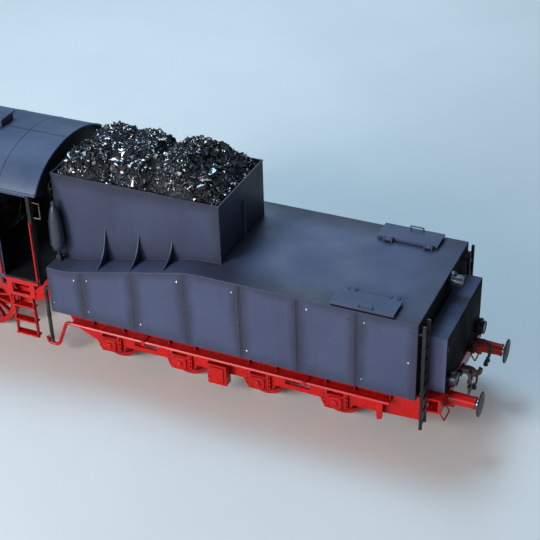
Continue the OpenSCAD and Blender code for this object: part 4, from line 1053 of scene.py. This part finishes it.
def make_cab_details():
    """Window frames, rivets and handrail stanchions, and the near-black paint inside the cab, which is also
    painted shade under the roof and on the rear-facing faces.
    """
    outside = bmesh.new()
    for x0, x1 in ((224, 239), (243, 258)):
        for a, low, b, high in ((x0 - 0.9, 83.1, x1 + 0.9, 84.2), (x0 - 0.9, 106.8, x1 + 0.9, 107.9),
                                (x0 - 0.9, 84.2, x0 + 0.2, 106.8), (x1 - 0.2, 84.2, x1 + 0.9, 106.8)):
            add_box(outside, at(a, CAB_FACE - 0.2, low), at(b, CAB_FACE + 0.45, high), 0.15)
    rows = [(222 + 3.8 * k, z) for k in range(13) for z in (52, 117.6)]
    columns = [(x, 54 + 4.7 * k) for k in range(14) for x in (221.2, 267.2)]
    for x, z in rows + columns:
        add_stud(outside, at(x, CAB_FACE, z), LEFT, 0.3, 0.22)
    add_piece("cab_window_frames", both_ways(outside), "locomotive", "body_paint")

    stanchions = bmesh.new()
    for x, low, high in ((194.4, 60, 101), (220.6, 60, 103)):
        for z in (low, high):
            add_lathe(stanchions, at(x, CAB_FACE, z), LEFT,
                      [(0, 1.15), (0.25, 1.15), (0.35, 0.7), (0.9, 0.6)], 16)
            add_lathe(stanchions, at(x, CAB_FACE + 1, z - 0.9), UP,
                      [(0, 0.55), (0.4, 0.6), (1.4, 0.6), (1.8, 0.55)], 14)
    add_piece("handrail_stanchions", both_ways(stanchions), "locomotive", "frame_red")

    rails = softened("cab_handrails", 0.05)
    add_finish(rails, "bare_steel", lambda face: face.center.x < at(193.3, 0, 0).x)
    post = at(195.7, 0, 0).x
    walls = softened("cab_shell", 0.22, cut_x=post)
    inner = Box("cab_shell").hi.y - mm(0.6)
    # Near black behind the door post, on the inner faces and on the rear-facing faces: partly dark paint
    # inside, partly painted shade.
    add_finish(walls, "inside", lambda face: face.center.x < post or (
        face.normal.y * face.center.y < 0 and abs(face.center.y) < inner) or face.normal.x < -0.9)
    roof = softened("cab_roof", 0.2, "roof_paint")
    # Painted shade: the roof's underside is near black.
    add_finish(roof, "inside", lambda face: face.normal.z < -0.1)


def make_backhead_details():
    """Pipes, valve spindles and gauge rims on the boiler's rear end."""
    pipes, wheels = bmesh.new(), bmesh.new()
    for y in (-18, 18):
        add_tube(pipes, rounded_path([at(247.6, y, 80), at(247.6, y, 70), at(247.6, y * 0.8, 62),
                                      at(247.6, y * 0.8, 57.9)], 3), 0.6, 10)
        for k in range(6):
            a = math.tau * k / 6
            add_tube(wheels, [at(245.2, y, 80), at(245.2, y + 2.4 * math.cos(a), 80 + 2.4 * math.sin(a))],
                     0.22, 6)
    add_tube(pipes, rounded_path([at(248, 12, 103), at(248, 12, 99), at(248, 4, 97), at(248, 4, 92),
                                  at(249.2, 4, 90)], 2), 0.45, 10)
    for y in (-11.5, 11.5):
        for z in (84, 97):
            add_lathe(wheels, at(247.4, y, z), UP, [(0, 1.1), (0.9, 1.1)], 12)
    add_lathe(wheels, at(246.9, 12, 106), REARWARD,
              [(0, 3.7), (0.25, 3.7), (0.3, 3.2), (0.05, 3.1)], 28)
    add_piece("backhead_pipes", pipes, "locomotive", "black_metal", "brass")
    add_piece("backhead_fittings", wheels, "locomotive", "bare_steel", "brass")


def make_step_details():
    """Raised bars on the treads of the cab steps."""
    bars = bmesh.new()
    for z in (14.7, 25.3, 36.3, 44.7):
        for k in range(7):
            x = 202.2 + 2.2 * k
            add_box(bars, at(x, 40.8, z + 0.4), at(x + 0.7, 45.2, z + 0.75), 0.1)
    add_piece("step_tread_bars", both_ways(bars), "locomotive", "frame_red")


def make_rear_details():
    """Joints of the tool box's doors, and their hinges."""
    box = Box("rear_tool_box")
    doors = bmesh.new()
    face = box.lo.x
    for y0, y1 in ((1, 31), (-31, -1)):
        for a, low, b, high in ((y0, 42, y1, 42.5), (y0, 74.5, y1, 75), (y0, 42, y0 + 0.5, 75),
                                (y1 - 0.5, 42, y1, 75)):
            add_box(doors, (face, mm(a), RAIL_TOP + mm(low)), (face + mm(0.4), mm(b), RAIL_TOP + mm(high)))
    add_piece("tool_box_door_joints", doors, "tender", "body_paint", "inside")
    trim = bmesh.new()
    for z in (48, 69):
        for y in (-31.6, 31.6):
            add_lathe(trim, (face + mm(0.3), mm(y), RAIL_TOP + mm(z - 2)), UP,
                      [(0, 0.55), (4, 0.55)], 12)
    add_piece("tool_box_hinges", trim, "tender", "body_paint")


# ---- tender body

# How far the edges of each CAD node are rounded, in millimetres
ROUNDED_BY = {
    "frame_plates": 0.25, "frame_stretchers": 0.2, "buffer_beam": 0.3, "leaf_springs": 0.15,
    "equipment_box": 0.3, "footsteps": 0.25, "guard_irons": 0.25, "tank_shell": 0.7, "tank_floor": 0.2,
    "bunker_shell": 0.25, "bunker_stiffeners": 0.12, "rear_tool_box": 0.5, "hatch_coamings": 0.12,
    "rear_ladders": 0.15, "storage_tubes": 0.2, "hatch_lid_left": 0.25, "hatch_lid_right": 0.25,
    "drawhook": 0.25, "coupling_link": 0.2, "handbrake_lever": 0.15, "handbrake_bracket": 0.2, "drawbar": 0.3,
    "loco_frame": 0.25, "loco_axleboxes": 0.3, "cab_floor": 0.2, "fall_plate": 0.12, "roof_vent": 0.4,
    "cab_steps": 0.2, "backhead": 0.6, "fire_door": 0.2, "reverser_stand": 0.3, "running_ledges": 0.35,
    "axleboxes": 0.3,
}
# The nodes among them whose paint isn't their slot's
OWN_PAINT = {"tank_shell": "tank", "bunker_shell": "bunker", "rear_tool_box": "box", "hatch_coamings": "lid",
             "hatch_lid_left": "lid", "hatch_lid_right": "lid", "storage_tubes": "bottle",
             "roof_vent": "roof_paint"}


def round_cad_nodes():
    """Rounds the edges of the CAD nodes that keep their shape, and paints the rear faces of the tank and the
    tool box near black as painted shade.
    """
    for node, width in ROUNDED_BY.items():
        piece = softened(node, width, OWN_PAINT.get(node))
        # Painted shade: the rear-facing faces are near black.
        if node in ("tank_shell", "rear_tool_box"):
            add_finish(piece, "rear_shade", lambda face: face.normal.x < -0.9)


def paint_cad_nodes():
    """Gives the CAD nodes that are shown as they are their procedural material."""
    for node, cad in frame["nodes"].items():
        if not cad.hide_render:
            cad.data.materials.clear()
            cad.data.materials.append(MATERIALS[NODE_SLOT[node]])


def main():
    make_camera()
    make_stage()
    make_coal()
    round_cad_nodes()
    make_tank_details()
    make_ledge_bars()
    make_axlebox_covers()
    make_frame_rivets()
    make_lamps()
    make_buffers()
    make_hoses()
    make_coupling()
    make_wheels()
    make_roof_details()
    make_cab_details()
    make_backhead_details()
    make_step_details()
    make_rear_details()
    paint_cad_nodes()


main()
